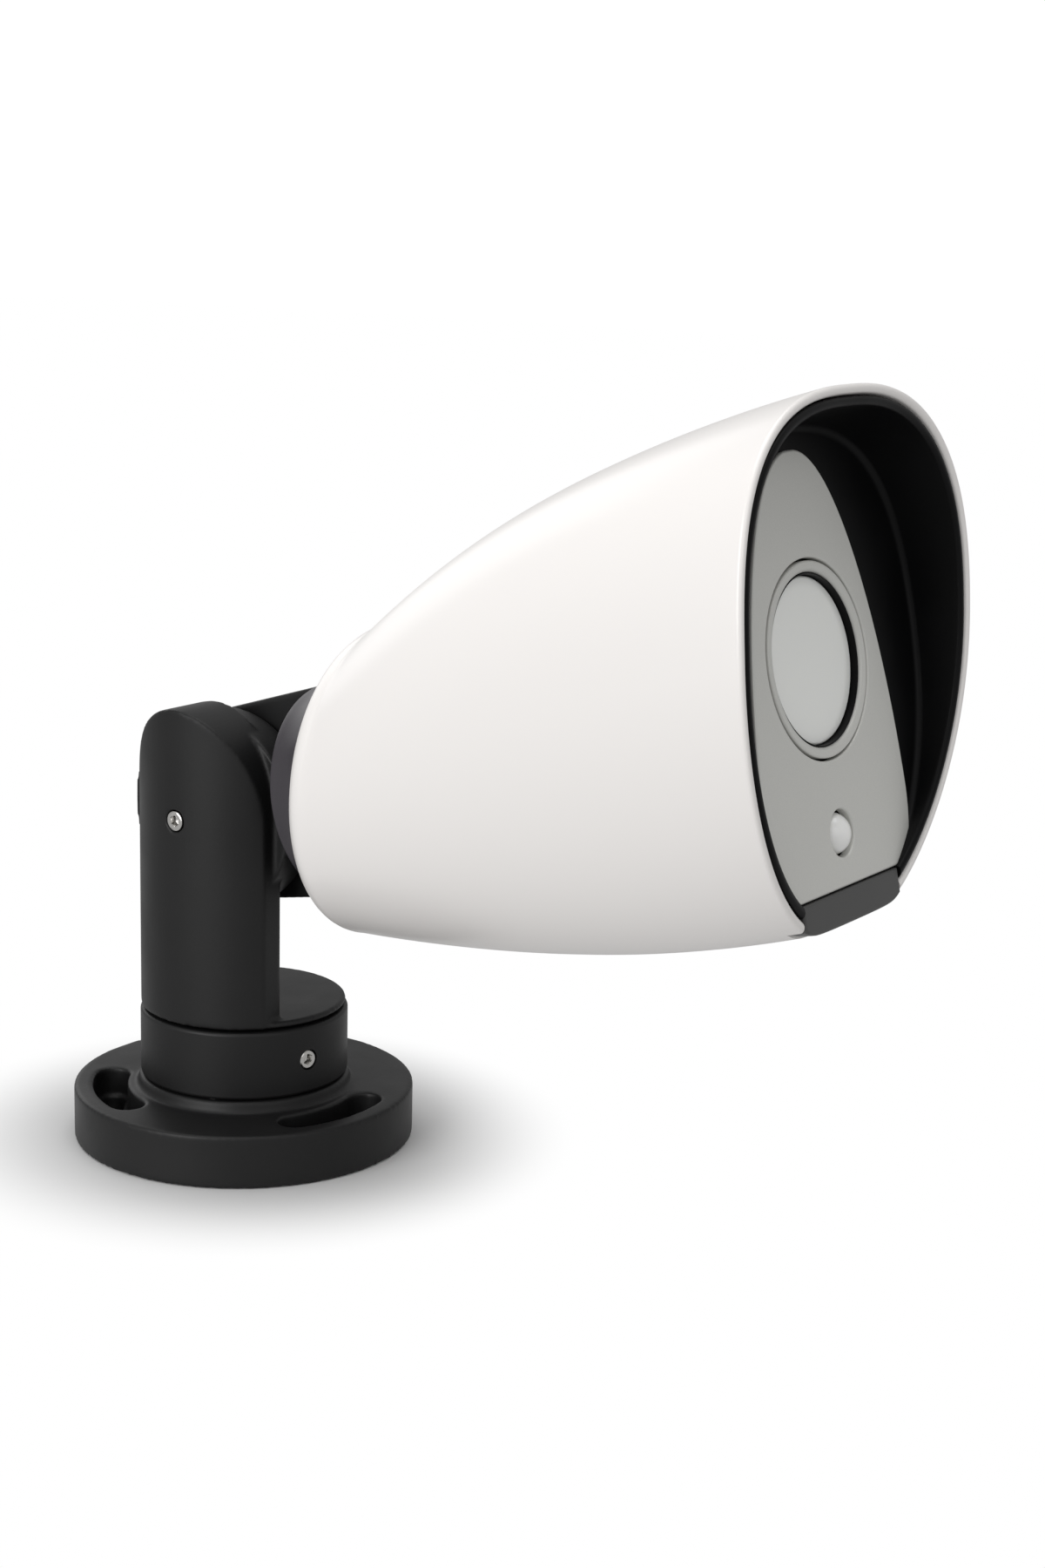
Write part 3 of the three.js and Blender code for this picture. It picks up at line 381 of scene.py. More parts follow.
# ---------------------------------------------------------------- the head's form
def head_point(forward, inset, angle, lean=True):
    """(x, up, forward) on the head's surface, drawn in by an inset."""
    s = min(1, max(0, (forward - REAR_F) / (TIP_F - REAR_F)))
    grow = (1 + SWELL) * s - SWELL * s * s
    half_w = lerp(REAR_HALF_W, FRONT_HALF_W, grow) - inset
    top = lerp(REAR_TOP_U, FRONT_TOP_U, grow) - inset
    bottom = lerp(REAR_BOTTOM_U, FRONT_BOTTOM_U, s) - 4 * BOTTOM_SAG * s * (1 - s) + inset
    waist = lerp(REAR_WAIST_U, FRONT_WAIST_U, grow)
    tilt = REAR_LEAN * max(0, 1 - s / LEAN_SHARE) ** 2 if lean else 0
    c, d = math.cos(angle), math.sin(angle)
    if d > 0:
        power = 2 / lerp(REAR_SQUARE, FRONT_SQUARE, s)
        x, rise = half_w * abs(c) ** power, (top - waist) * d ** power
    else:
        x, round_u, flat_u = half_w * abs(c), (waist - bottom) * (1 + BOTTOM_FLAT * s) * d, bottom - waist
        rise = (round_u + flat_u) / 2 + math.hypot((round_u - flat_u) / 2, FLAT_BLEND * s)
        rise = min(rise, 0)
    return Vector((math.copysign(x, c), waist + rise, forward + tilt * rise))


def hood_edge(u):
    """How far the hood's edge stands ahead of the panel at a height: a parabola through three points."""
    total = 0
    for ui, lead in HOOD_AHEAD:
        for uj, _ in HOOD_AHEAD:
            if uj != ui:
                lead *= (u - uj) / (ui - uj)
        total += lead
    return total


def hood_end(inset, angle, rounds=14):
    """Forward position where a surface at an inset meets the hood's edge, found by repetition."""
    forward = FACE_F + 8
    for _ in range(rounds):
        forward = FACE_F + hood_edge(head_point(forward, inset, angle).y)
    return forward


def rear_point(depth, share, angle):
    """A point on the rounding behind the shell, share 1 at its opening."""
    radius = ROUND_R - depth
    full_deg = lerp(ROUND_LOW_DEG, ROUND_HIGH_DEG, (1 + math.sin(angle)) / 2)
    turn = math.radians(full_deg) * share
    p = head_point(REAR_F + ROUND_R, depth + radius * (1 - math.cos(turn)), angle)
    return p - Vector((0, 0, radius * math.sin(turn)))


def hood_rings(starts, ends, inset, count):
    """Rings at an inset, evenly spaced from one forward position to another along each column."""
    rings = []
    for i in range(count + 1):
        rings.append([head_point(lerp(f, g, i / count), inset, a) for a, f, g in zip(ANGLES, starts, ends)])
    return rings


def edge_rings(tips, length, middle, half, count):
    """The rounded edge between an outer and an inner surface, its tip at the given positions."""
    rings = []
    for i in range(1, count):
        turn = math.pi * i / count
        out, on = half * math.cos(turn), length * math.sin(turn)
        rings.append([head_point(f - length + on, middle - out, a) for a, f in zip(ANGLES, tips)])
    return rings


def opening_lip(angle, turn):
    """A point on the half round that closes the shell's wall at its rear opening."""
    outer, inner = rear_point(0, 1, angle), rear_point(WALL, 1, angle)
    back = (rear_point(WALL / 2, 1.05, angle) - rear_point(WALL / 2, 1, angle)).normalized()
    middle = (outer + inner) / 2
    return middle + (inner - middle) * math.cos(turn) + back * (WALL / 2) * math.sin(turn)


def shell_mesh():
    """Outside from the rear rounding to the hood's edge, back along the inside, and round the rear lip."""
    rim = WALL / 2
    tips = [hood_end(0, a) for a in ANGLES]
    edge = [f - rim for f in tips]
    start = [REAR_F + ROUND_R] * COLUMNS
    rings = [[rear_point(0, 1 - i / 6, a) for a in ANGLES] for i in range(7)]
    rings += hood_rings(start, edge, 0, 46)[1:]
    rings += edge_rings(tips, rim, rim, rim, 8)
    rings += hood_rings(edge, start, WALL, 12)
    rings += [[rear_point(WALL, i / 3, a) for a in ANGLES] for i in range(1, 4)]
    rings += [[opening_lip(a, math.pi * i / 6) for a in ANGLES] for i in range(1, 6)]
    return skin(rings, close=True)


def liner_mesh(fillet=1.6, steps=7):
    """Dark lining of the hood, with a fillet down to the face."""
    middle, half = (LINER_OUT + LINER_IN) / 2, (LINER_IN - LINER_OUT) / 2
    tips = [hood_end(middle, a) - 0.35 for a in ANGLES]
    edge = [f - LINER_LIP for f in tips]
    rear = [FACE_F - LINER_BACK] * COLUMNS
    floor = FACE_F - 1
    foot = [min(floor + fillet, f) for f in edge]
    rings = hood_rings(rear, edge, LINER_OUT, 5)
    rings += edge_rings(tips, LINER_LIP, middle, half, 10)
    rings += hood_rings(edge, foot, LINER_IN, 8)
    for i in range(1, steps + 1):
        turn = math.pi / 2 * i / steps
        inset, fall = LINER_IN + fillet * (1 - math.cos(turn)), math.sin(turn)
        rings.append([head_point(f - max(f - floor, 0.02) * fall, inset, a) for a, f in zip(ANGLES, foot)])
    rings.append([head_point(FACE_F - 4, LINER_IN + fillet, a) for a in ANGLES])
    rings.append([head_point(FACE_F - LINER_BACK, LINER_IN, a) for a in ANGLES])
    return skin(rings, close=True)


def cap_edge(angle):
    """Where the cap's flare ends, just inside the shell's opening."""
    p = rear_point(WALL, 1, angle)
    out = Vector((p.x, p.y - NECK_U, 0)).normalized()
    return p - out * CAP_GAP - Vector((0, 0, CAP_STAND))


def cap_mesh(steps=14):
    """A trumpet that flares from the neck out to the shell, with a lip inside the shell."""
    corner = ((CAP_BORE_R, 0), (CAP_R - 1.4, 0), (CAP_R - 0.7, 0.1), (CAP_R - 0.2, 0.4), (CAP_R, 0.9))
    rings = [hoop(r, NECK_U, CAP_F + f) for r, f in corner]
    start, end = rings[-1], [cap_edge(a) for a in ANGLES]
    for i in range(1, steps + 1):
        t = i / steps
        out = t ** CAP_FLARE
        rings.append([(lerp(p.x, q.x, out), lerp(p.y, q.y, out), lerp(p.z, q.z, t))
                      for p, q in zip(start, end)])
    rings.append([p + Vector((0, 0, CAP_LIP)) for p in end])
    rings.append(hoop(CAP_BORE_R, NECK_U, CAP_BORE_F))
    return skin(rings, close=True)


def chin_block(clear=0.3):
    """The notch that the chin bar fills in the shell and the liner."""
    side = CHIN_HALF_W + clear
    return block(-side, side, -70, CHIN_TOP + clear, FACE_F - CHIN_DEPTH - clear, FACE_F + 60)


def panel_outline(grow, steps=28):
    """The face panel: narrow at the top, widest low down, flat foot."""
    foot, wide, apex = FACE_U + PANEL_FOOT - grow, FACE_U + PANEL_WIDE, FACE_U + PANEL_APEX + grow
    w = PANEL_HALF_W + grow
    corner = (PANEL_FOOT_HALF_W, foot)
    right = [corner]
    right += bezier(corner, (PANEL_FOOT_HALF_W + 6, foot), (w, foot + 7), (w, wide), steps)
    right += bezier((w, wide), (w - 1.5, wide + 40), (19 + grow, apex - 1.8), (2, apex), steps)
    left = [(-x, y) for x, y in reversed(right)]
    return right + left


def arc_slot(half_w, middle_deg, steps=30, end_steps=14):
    """Outline of a slot bent about the pan axis, with round ends."""
    middle, span = math.radians(middle_deg), math.radians(SLOT_HALF_DEG)
    out = []
    for side in (1, -1):
        r = SLOT_R + side * half_w
        for i in range(steps + 1):
            a = middle + side * lerp(-span, span, i / steps)
            out.append((r * math.cos(a), r * math.sin(a)))
        end = middle + side * span
        x, y = SLOT_R * math.cos(end), SLOT_R * math.sin(end)
        for i in range(1, end_steps):
            turn = end + math.pi * (i / end_steps + (1 - side) / 2)
            out.append((x + half_w * math.cos(turn), y + half_w * math.sin(turn)))
    return out


# ---------------------------------------------------------------- materials
def surface(name, colour, roughness, metallic=0.0, grain=1800, grain_depth=0.02, grain_strength=0.3, patch=40,
            patch_amount=0.06, rough_swing=0.06, coat=0.0, coat_rough=0.2, specular=0.5, speck=0.0,
            subsurface=0.0, detail=4):
    """Principled surface with patchy colour, uneven gloss and a fine grain.

    Patch and grain are counted per metre, and the grain's depth is in millimetres.
    """
    mat = bpy.data.materials.new(name)
    mat.use_nodes = True
    tree = mat.node_tree
    shader = tree.nodes["Principled BSDF"]
    add = tree.nodes.new
    link = tree.links.new
    place = add("ShaderNodeTexCoord").outputs["Object"]

    def noise(scale, fine_detail):
        node = add("ShaderNodeTexNoise")
        node.inputs["Scale"].default_value = scale
        node.inputs["Detail"].default_value = fine_detail
        link(place, node.inputs["Vector"])
        return node

    def eased(value, low, high):
        node = add("ShaderNodeMapRange")
        node.interpolation_type = "SMOOTHSTEP"
        node.inputs["From Min"].default_value = 0.2
        node.inputs["From Max"].default_value = 0.8
        node.inputs["To Min"].default_value = low
        node.inputs["To Max"].default_value = high
        link(value, node.inputs["Value"])
        return node.outputs["Result"]

    broad = noise(patch, detail).outputs["Fac"]
    fine = noise(grain, 3)
    fine.inputs["Roughness"].default_value = 0.55
    mix = add("ShaderNodeMix")
    mix.data_type = "RGBA"
    mix.inputs["A"].default_value = (*[c * (1 - patch_amount) for c in colour], 1)
    mix.inputs["B"].default_value = (*[min(1, c * (1 + patch_amount)) for c in colour], 1)
    link(eased(broad, 0, 1), mix.inputs["Factor"])
    colour_out = mix.outputs["Result"]
    if speck:
        flake = add("ShaderNodeTexVoronoi")
        flake.inputs["Scale"].default_value = 5200
        link(place, flake.inputs["Vector"])
        size = add("ShaderNodeMapRange")
        size.inputs["From Min"].default_value = 0.05
        size.inputs["From Max"].default_value = 0.45
        size.inputs["To Min"].default_value = speck
        size.inputs["To Max"].default_value = 0
        link(flake.outputs["Distance"], size.inputs["Value"])
        bright = add("ShaderNodeMix")
        bright.data_type = "RGBA"
        bright.inputs["B"].default_value = (*[min(1, c * 1.5) for c in colour], 1)
        link(colour_out, bright.inputs["A"])
        link(size.outputs["Result"], bright.inputs["Factor"])
        colour_out = bright.outputs["Result"]
    link(colour_out, shader.inputs["Base Color"])
    gloss = eased(broad, max(0.02, roughness - rough_swing), min(1, roughness + rough_swing))
    link(gloss, shader.inputs["Roughness"])
    bump = add("ShaderNodeBump")
    bump.inputs["Strength"].default_value = grain_strength
    bump.inputs["Distance"].default_value = grain_depth * MM
    link(fine.outputs["Fac"], bump.inputs["Height"])
    link(bump.outputs["Normal"], shader.inputs["Normal"])
    shader.inputs["Metallic"].default_value = metallic
    shader.inputs["Specular IOR Level"].default_value = specular
    shader.inputs["Coat Weight"].default_value = coat
    shader.inputs["Coat Roughness"].default_value = coat_rough
    if subsurface:
        shader.inputs["Subsurface Weight"].default_value = subsurface
        shader.inputs["Subsurface Radius"].default_value = (1, 1, 0.9)
        shader.inputs["Subsurface Scale"].default_value = 0.002
    return mat


powder = surface("powder_coat", (0.007, 0.007, 0.0072), 0.46, grain=1500, grain_depth=0.05,
                 grain_strength=0.35, patch=55, patch_amount=0.10, specular=0.32)
moulded = surface("moulded_cap", (0.032, 0.028, 0.034), 0.42, grain=2600, grain_depth=0.03,
                  grain_strength=0.25, patch=70, patch_amount=0.06)
white = surface("white_lacquer", (0.84, 0.815, 0.795), 0.3, grain=420, grain_depth=0.02, grain_strength=0.05,
                patch=14, patch_amount=0.006, rough_swing=0.02, coat=0.25, coat_rough=0.25, detail=0)
# the black plastic is darkened below its own colour as painted shade for the shadowed inside of the hood; the
# face surround and the window sleeve get the same painted shade
hood = surface("hood_plastic_painted_shade", (0.0025, 0.0025, 0.0028), 0.42, grain=3000, grain_depth=0.02,
               grain_strength=0.2, patch=60, patch_amount=0.1, specular=0.14)
# the chin is the same black plastic as the hood, lightened to dark grey as a painted sheen: the floor's
# reflection in it is painted into its colour
chin_painted_sheen = surface("chin_plastic_painted_sheen", (0.055, 0.055, 0.054), 0.42, grain=2800, grain_depth=0.02,
                    grain_strength=0.2, patch=60, patch_amount=0.06)
panel_grey = surface("panel_paint", (0.63, 0.63, 0.60), 0.42, metallic=0.2, grain=5200, grain_depth=0.01,
                     grain_strength=0.2, patch=30, patch_amount=0.02, speck=0.25)
pale = surface("frosted_window", (0.90, 0.91, 0.88), 0.3, grain=900, grain_depth=0.005, grain_strength=0.05,
               patch=20, patch_amount=0.008, rough_swing=0.02, coat=0.5, coat_rough=0.12, subsurface=0.15,
               detail=0)
opal = surface("opal_dome", (0.92, 0.92, 0.90), 0.22, grain=900, grain_depth=0.004, grain_strength=0.05,
               patch=90, patch_amount=0.02, coat=0.6, coat_rough=0.08, subsurface=0.3)
steel = surface("machined_steel", (0.62, 0.61, 0.59), 0.24, metallic=1.0, grain=2400, grain_depth=0.01,
                grain_strength=0.25, patch=400, patch_amount=0.08, rough_swing=0.08)
rubber = surface("rubber", (0.012, 0.012, 0.012), 0.82, grain=1300, grain_depth=0.04, grain_strength=0.4,
                 patch=80, patch_amount=0.12, specular=0.3)
board = surface("circuit_board", (0.015, 0.085, 0.035), 0.45, grain=900, grain_depth=0.02, grain_strength=0.3,
                patch=300, patch_amount=0.25)
glass = surface("coated_glass", (0.03, 0.035, 0.05), 0.06, grain=200, grain_depth=0.002, grain_strength=0.02,
                patch=60, patch_amount=0.1, coat=1.0, coat_rough=0.03)


def paint_nodes():
    """Gives each node of the frame the material of its slot."""
    by_slot = {"cast_black": powder, "cap_black": moulded, "shell_white": white, "hood_black": hood,
               "panel_grey": panel_grey, "window_pale": pale, "steel": steel, "rubber": rubber,
               "board": board, "glass": glass}
    slot_of = {s["node"]: s["material_slot"] for s in frame["record"]["subparts"]}
    for name, node in frame["nodes"].items():
        node.data.materials.clear()
        node.data.materials.append(by_slot[slot_of[name]])


# ---------------------------------------------------------------- base
def flange_body():
    profile = [(CABLE_R, 0), (GASKET_IN_R, 0), (GASKET_IN_R, GASKET_GROOVE), (GASKET_OUT_R, GASKET_GROOVE),
               (GASKET_OUT_R, 0), (FLANGE_R, 0), (FLANGE_R, FLANGE_H), (HUB_LOW_R, FLANGE_H),
               (HUB_TOP_R, HUB_TOP), (CABLE_R, HUB_TOP)]
    cuts = [prism(arc_slot(RECESS_HALF_W, a), RECESS_FLOOR, FLANGE_H + CUT) for a in SLOT_ANGLES]
    cuts += [prism(arc_slot(THROUGH_HALF_W, a), -CUT, FLANGE_H + CUT) for a in SLOT_ANGLES]
    for degrees in SCREW_ANGLES:
        turn = Matrix.Rotation(math.radians(degrees), 4, "Z")
        place = STRAIGHT @ turn @ Matrix.Translation((SCREW_PITCH_R, 0, 0))
        cuts.append(bar(SCREW_BORE_R, -CUT, SCREW_BORE_TOP, place, 32))
        cuts.append(bar(SCREW_HEAD_R, -CUT, SCREW_HEAD_TOP, place, 48))
    body = cast(carve(lathe(profile, 240), cuts), 9)
    piece("flange_body", body, "base", powder, ["base_flange"], sharp=0)


def collar_and_screw():
    profile = [(COLLAR_BORE_R, CLIP_ROOM_TOP), (CLIP_ROOM_R, CLIP_ROOM_TOP), (CLIP_ROOM_R, COLLAR_LOW),
               (COLLAR_R, COLLAR_LOW), (COLLAR_R, COLLAR_TOP), (COLLAR_BORE_R, COLLAR_TOP)]
    outwards = around_z(PAN_SCREW_DEG, (COLLAR_LOW + COLLAR_TOP) / 2)
    bore = bar(PAN_SCREW_BORE_R, COLLAR_BORE_R - CUT, COLLAR_R + CUT, outwards, 48)
    collar = carve(lathe(rounded(profile, [0.3, 0, 0.3, 0.9, 1.0, 0.3], 6), 192), [bore])
    piece("collar_body", collar, "base", powder, ["base_collar"], sharp=40)
    screw = socket_screw(6, outwards @ Matrix.Translation((0, 0, COLLAR_R - 0.3)))
    piece("pan_screw", screw, "base", steel, ["pan_lock_screw"], sharp=30)


def gasket_ring():
    profile = [(GASKET_IN_R, 0), (GASKET_OUT_R, 0), (GASKET_OUT_R, GASKET_T), (GASKET_IN_R, GASKET_T)]
    piece("gasket_ring", lathe(rounded(profile, 0.35, 4)), "base", rubber, ["base_gasket"])


def lead_plug():
    """Closed rubber plug with a ring groove in its underside, where the lead is pushed through."""
    profile = [(0, 0), (2.2, 0), (2.4, 0.5), (3, 0.6), (3.3, 0.1), (PLUG_R - 0.4, 0), (PLUG_R, 0.5),
               (PLUG_R, PLUG_T), (0, PLUG_T)]
    piece("lead_plug", lathe(profile, 64, closed=False), "base", rubber, ["cable_grommet"])


# ---------------------------------------------------------------- arm
def arm_casting():
    """Upright with a flat inner face and a round back, on a round foot, with a boss for the knuckle."""
    side = [(-ARM_HALF_W, FOOT_TOP - 1.5), (ARM_HALF_W, FOOT_TOP - 1.5)]
    for i in range(65):
        a = math.pi * i / 64
        side.append((ARM_HALF_W * math.cos(a), TILT_Z + ARM_RISE * math.sin(a)))
    slab = prism(side, -40, ARM_FACE_X, SIDEWAYS)
    upright = carve(slab, [bar(ARM_R, 10, 130, STRAIGHT, 256)], "INTERSECT")
    foot = lathe(rounded([(0, FOOT_LOW - SPIGOT_DEPTH), (SPIGOT_R, FOOT_LOW - SPIGOT_DEPTH),
                          (SPIGOT_R, FOOT_LOW), (FOOT_R, FOOT_LOW), (FOOT_R, FOOT_TOP), (0, FOOT_TOP)],
                         [0, 0, 0, 0.5, 0.6, 0], 4), 192, closed=False)
    boss_low = ARM_FACE_X - 3
    boss = lathe([(0, boss_low), (BOSS_R, boss_low), (BOSS_R, BOSS_X - 1), (BOSS_R - 0.9, BOSS_X),
                  (0, BOSS_X)], 160, ALONG_X, False)
    body = carve(upright, [foot, boss], "UNION")
    screw_bore = bar(TILT_SCREW_BORE_R, -ARM_R - CUT, PIVOT_BORE_X + 0.5, ALONG_X, 48)
    body = carve(body, [screw_bore, bar(PIVOT_BORE_R, PIVOT_BORE_X, BOSS_X + CUT, ALONG_X, 64)])
    piece("arm_casting", cast(body, 7), "arm", powder, ["bracket_arm"], sharp=0)


def tilt_screw():
    screw = socket_screw(5, around_z(180, TILT_Z) @ Matrix.Translation((0, 0, ARM_R + 0.05)))
    piece("tilt_screw", screw, "arm", steel, ["tilt_lock_screw"], sharp=30)


# ---------------------------------------------------------------- head: knuckle and rear cap
def knuckle_casting():
    """A barrel about the tilt axis that runs on into the round neck, cut flat where it meets the arm."""
    neck = mended(skin([hoop(KNUCKLE_R, 0, -0.5), hoop(NECK_R, NECK_U, NECK_F)]), fill=True)
    barrel = carve(bar(KNUCKLE_R, -KNUCKLE_R, KNUCKLE_R, ALONG_X, 160),
                   [bar(KNUCKLE_R, -KNUCKLE_R - CUT, 2, HEAD, 160)], "INTERSECT")
    knuckle = carve(neck, [barrel], "UNION")
    knuckle = carve(knuckle, [block(KNUCKLE_X, 40, -40, 40, -40, NECK_F + CUT)], "INTERSECT")
    knuckle = carve(knuckle, [bar(COVER_BORE_R, COVER_BORE_X, 40, ALONG_X)])
    piece("knuckle_casting", cast(knuckle, 6), "head", powder, ["knuckle"], sharp=0)


def pivot_cap():
    """Round cover over the pivot's end, with a shallow groove inside its edge."""
    profile = [(0, COVER_LOW), (COVER_R, COVER_LOW), (COVER_R, COVER_TOP - 0.8),
               (COVER_R - 0.6, COVER_TOP - 0.2), (9.4, COVER_TOP - 0.1), (9.0, COVER_TOP - 0.4),
               (8.6, COVER_TOP - 0.4), (8.2, COVER_TOP - 0.05), (0, COVER_TOP)]
    cover = lathe(profile, 96, ALONG_X, False)
    piece("pivot_cap", cover, "head", moulded, ["pivot_cover"], sharp=40)


def rear_flare():
    piece("rear_flare", cap_mesh(), "head", moulded, ["rear_cap"], sharp=50)


# ---------------------------------------------------------------- head: shell, hood and face
AT_WINDOW = HEAD @ Matrix.Translation((0, FACE_U, 0))
AT_DOME = HEAD @ Matrix.Translation((0, DOME_U, 0))


def shell_skin():
    shell = carve(shell_mesh(), [chin_block()])
    piece("shell_skin", shell, "head", white, ["outer_shell"], sharp=45)


def hood_lining():
    liner = carve(liner_mesh(), [chin_block()])
    piece("hood_lining", liner, "head", hood, ["hood_liner"], sharp=45)


def face_surround():
    """The dark floor round the panel, and the plate behind it that holds the window and the dome."""
    edge = [head_point(FACE_F - 1, LINER_IN + 0.4, a, False) for a in ANGLES]
    outline = [(p.x, p.y) for p in edge]
    holes = [circle(WINDOW_R + 0.4, FACE_U), circle(DOME_HOLE_R, DOME_U, 48)]
    backing = plate([outline, *holes], FACE_F - 6, FACE_F - 3.1, 0.2)
    surround = plate([outline, panel_outline(SEAM)], FACE_F - 4, FACE_F - 1, 0.3)
    piece("face_surround", join(backing, surround), "head", hood, ["front_bezel"], sharp=50)


def chin_bar():
    """Bar in the notch under the face; its lower side follows the head, and its grey is painted sheen on
    black plastic.
    """
    points = [head_point(FACE_F, 0, a, False) for a in ANGLES]
    lower = sorted((p.x, p.y) for p in points if p.y < CHIN_TOP and abs(p.x) < CHIN_HALF_W)
    side = -math.acos(CHIN_HALF_W / head_point(FACE_F, 0, 0).x)
    low = head_point(FACE_F, 0, side, False).y
    outline = [(-CHIN_HALF_W, CHIN_TOP), (-CHIN_HALF_W, low), *lower, (CHIN_HALF_W, low),
               (CHIN_HALF_W, CHIN_TOP)]
    bar_mesh = plate([outline], FACE_F - CHIN_DEPTH, FACE_F + 0.5, 0.7)
    piece("chin_bar", bar_mesh, "head", chin_painted_sheen, sharp=50)


def face_plate():
    holes = [circle(RING_R + 0.6, FACE_U), circle(DOME_HOLE_R, DOME_U, 64)]
    panel = plate([panel_outline(0), *holes], FACE_F - PANEL_T, FACE_F, 0.55)
    piece("face_plate", panel, "head", panel_grey, ["face_panel"], sharp=50)


def window():
    """Trim ring, a thin dark sleeve inside it, and the pane with its slightly domed front."""
    low = FACE_F - PANEL_T
    profile = [(RING_IN_R, low), (RING_R, low), (RING_R, FACE_F + 0.1), (RING_IN_R, FACE_F - 0.1)]
    ring = lathe(rounded(profile, [0, 0, 0.5, 1.1], 6), 160, AT_WINDOW)
    piece("window_trim", ring, "head", panel_grey, ["window_ring"], sharp=40)
    inner, outer, low, high = WINDOW_R + 0.05, RING_IN_R - 0.12, FACE_F - 3.2, FACE_F - 0.7
    profile = [(inner, low), (outer, low), (outer, high), (WINDOW_R + 0.2, high)]
    sleeve = lathe(rounded(profile, 0.1, 2), 160, AT_WINDOW)
    piece("window_sleeve", sleeve, "head", hood)
    front, flat_r, rise, steps = FACE_F - WINDOW_BACK, WINDOW_R - 0.6, 0.25, 8
    disc = [(0, front - WINDOW_T), (WINDOW_R, front - WINDOW_T), (WINDOW_R, front - 0.6),
            (WINDOW_R - 0.2, front - 0.2), (flat_r, front)]
    for i in range(1, steps + 1):
        share = 1 - i / steps
        disc.append((flat_r * share, front + rise * (1 - share ** 2)))
    pane = lathe(disc, 160, AT_WINDOW, False)
    piece("window_pane", pane, "head", pale, ["window_disc"], sharp=50)


def light_sensor_dome(steps=16):
    seat, foot_r = FACE_F - 3.3, DOME_R + 0.2
    profile = [(0, seat - 1.2), (foot_r, seat - 1.2), (foot_r, seat - 0.2), (DOME_R, seat)]
    for i in range(steps + 1):
        turn = math.pi / 2 * i / steps
        profile.append((DOME_R * math.cos(turn), seat + (DOME_R - 0.05) * math.sin(turn)))
    dome = lathe(profile, 96, AT_DOME, False)
    piece("light_sensor_dome", dome, "head", opal, ["sensor_dome"], sharp=50)


# ---------------------------------------------------------------- studio
def emitter(name, size, power, place, target=(0, -0.06, 0.1)):
    data = bpy.data.lights.new(name, "AREA")
    data.shape = "RECTANGLE"
    data.size, data.size_y = size
    data.energy = power
    obj = loose(data, name)
    obj.location = place
    obj.rotation_mode = "QUATERNION"
    obj.rotation_quaternion = (Vector(target) - Vector(place)).to_track_quat("-Z", "Y")


def lights():
    emitter("key_left", (0.8, 1.1), 11, (-1.25, 0.05, 0.5))
    emitter("top", (1.2, 1.2), 8.4, (0.1, -0.1, 1.5))
    emitter("front_fill", (0.7, 0.9), 1.3, (-0.5, -1.2, 0.7))
    emitter("back_fill", (0.8, 0.8), 1.7, (0.5, 1.1, 0.6))


def floor_paper_painted_shadow():
    """Paper near the object, its grey a painted contact shadow round the base, that fades to plain white
    further out, and can't be seen from below.
    """
    # the paper's grey is a painted contact shadow round the base, on top of the real shadows it receives
    paper = surface("floor_paper_painted_shadow", (0.66, 0.66, 0.66), 0.8, grain=300, grain_depth=0.01, grain_strength=0.05,
                    patch=3, patch_amount=0.003, specular=0.2)
    tree = paper.node_tree
    add = tree.nodes.new
    link = tree.links.new
    distance = add("ShaderNodeVectorMath")
    distance.operation = "LENGTH"
    link(add("ShaderNodeTexCoord").outputs["Object"], distance.inputs[0])
    # painted shadow: grey paper close to the base, blending out to white
    painted_shadow_fade = add("ShaderNodeMapRange")
    painted_shadow_fade.interpolation_type = "SMOOTHSTEP"
    painted_shadow_fade.inputs["From Min"].default_value = 0.045
    painted_shadow_fade.inputs["From Max"].default_value = 0.09
    link(distance.outputs["Value"], painted_shadow_fade.inputs["Value"])
    # the white is dimmer for reflections and bounced light than for the camera
    dimmer = add("ShaderNodeMapRange")
    dimmer.inputs["To Min"].default_value = 0.5
    link(add("ShaderNodeLightPath").outputs["Is Camera Ray"], dimmer.inputs["Value"])
    far = add("ShaderNodeEmission")
    link(dimmer.outputs["Result"], far.inputs["Strength"])
    fade = add("ShaderNodeMixShader")
    link(painted_shadow_fade.outputs["Result"], fade.inputs["Fac"])
    link(tree.nodes["Principled BSDF"].outputs["BSDF"], fade.inputs[1])
    link(far.outputs["Emission"], fade.inputs[2])
    under = add("ShaderNodeMixShader")
    link(add("ShaderNodeNewGeometry").outputs["Backfacing"], under.inputs["Fac"])
    link(fade.outputs["Shader"], under.inputs[1])
    link(add("ShaderNodeBsdfTransparent").outputs["BSDF"], under.inputs[2])
    link(under.outputs["Shader"], tree.nodes["Material Output"].inputs["Surface"])
    return paper


def studio_floor(half=4000):
    corners = [(-half, -half, 0), (half, -half, 0), (half, half, 0), (-half, half, 0)]
    floor = loose(mesh_from(corners, [(0, 1, 2, 3)]), "floor")
    floor.location.z = -0.0002
    floor.data.materials.append(floor_paper_painted_shadow())


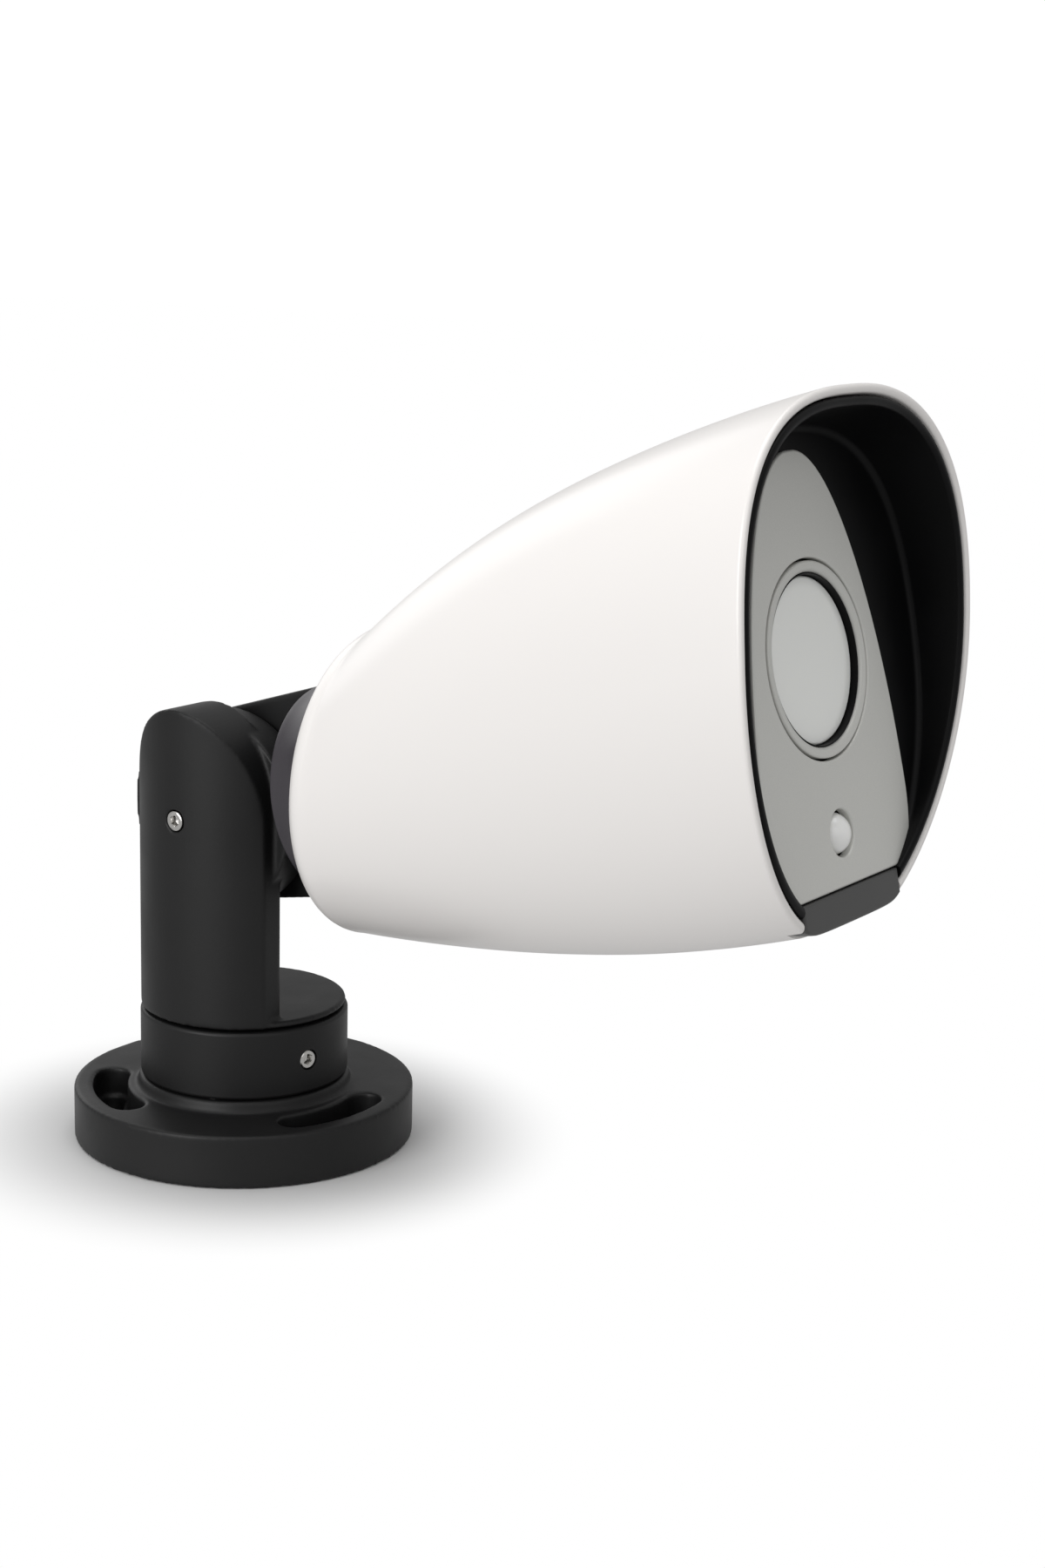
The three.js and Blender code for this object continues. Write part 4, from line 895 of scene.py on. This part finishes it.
def studio_world():
    """Soft white light all round, and plain white where the camera sees past the floor."""
    world = bpy.data.worlds.new("studio")
    world.use_nodes = True
    bpy.context.scene.world = world
    add = world.node_tree.nodes.new
    link = world.node_tree.links.new
    glow = world.node_tree.nodes["Background"]
    seen = add("ShaderNodeBackground")
    for background, strength in ((glow, 0.45), (seen, 1.05)):
        background.inputs["Color"].default_value = (1, 1, 1, 1)
        background.inputs["Strength"].default_value = strength
    choose = add("ShaderNodeMixShader")
    link(add("ShaderNodeLightPath").outputs["Is Camera Ray"], choose.inputs["Fac"])
    link(glow.outputs["Background"], choose.inputs[1])
    link(seen.outputs["Background"], choose.inputs[2])
    link(choose.outputs["Shader"], world.node_tree.nodes["World Output"].inputs["Surface"])
    bpy.context.scene.view_settings.view_transform = "Standard"


# ---------------------------------------------------------------- camera
def camera():
    """Looks from the front left and slightly above, a little rolled; lengths in metres."""
    azimuth, elevation, roll = math.radians(-55.54), math.radians(12.66), math.radians(1.4)
    distance, aside, height = 0.6782, 0.07252, 0.09642
    level = Vector((math.sin(azimuth), -math.cos(azimuth), 0))
    back = level * math.cos(elevation) + Vector((0, 0, math.sin(elevation)))
    right = Vector((math.cos(azimuth), math.sin(azimuth), 0))
    up = back.cross(right)
    lens = bpy.data.cameras.new("camera")
    lens.sensor_width = 36
    lens.lens = 36 * 2984 / 1800
    lens.clip_start, lens.clip_end = 0.01, 50
    obj = loose(lens, "camera")
    tilted_right = right * math.cos(roll) + up * math.sin(roll)
    tilted_up = up * math.cos(roll) - right * math.sin(roll)
    turn = Matrix((tilted_right, tilted_up, back)).transposed()
    place = right * aside + Vector((0, 0, height)) + back * distance
    obj.matrix_world = Matrix.Translation(place) @ turn.to_4x4()
    bpy.context.scene.camera = obj


# ---------------------------------------------------------------- the whole scene
paint_nodes()
flange_body()
collar_and_screw()
gasket_ring()
lead_plug()
arm_casting()
tilt_screw()
knuckle_casting()
pivot_cap()
rear_flare()
shell_skin()
hood_lining()
face_surround()
chin_bar()
face_plate()
window()
light_sensor_dome()
lights()
studio_floor()
studio_world()
camera()
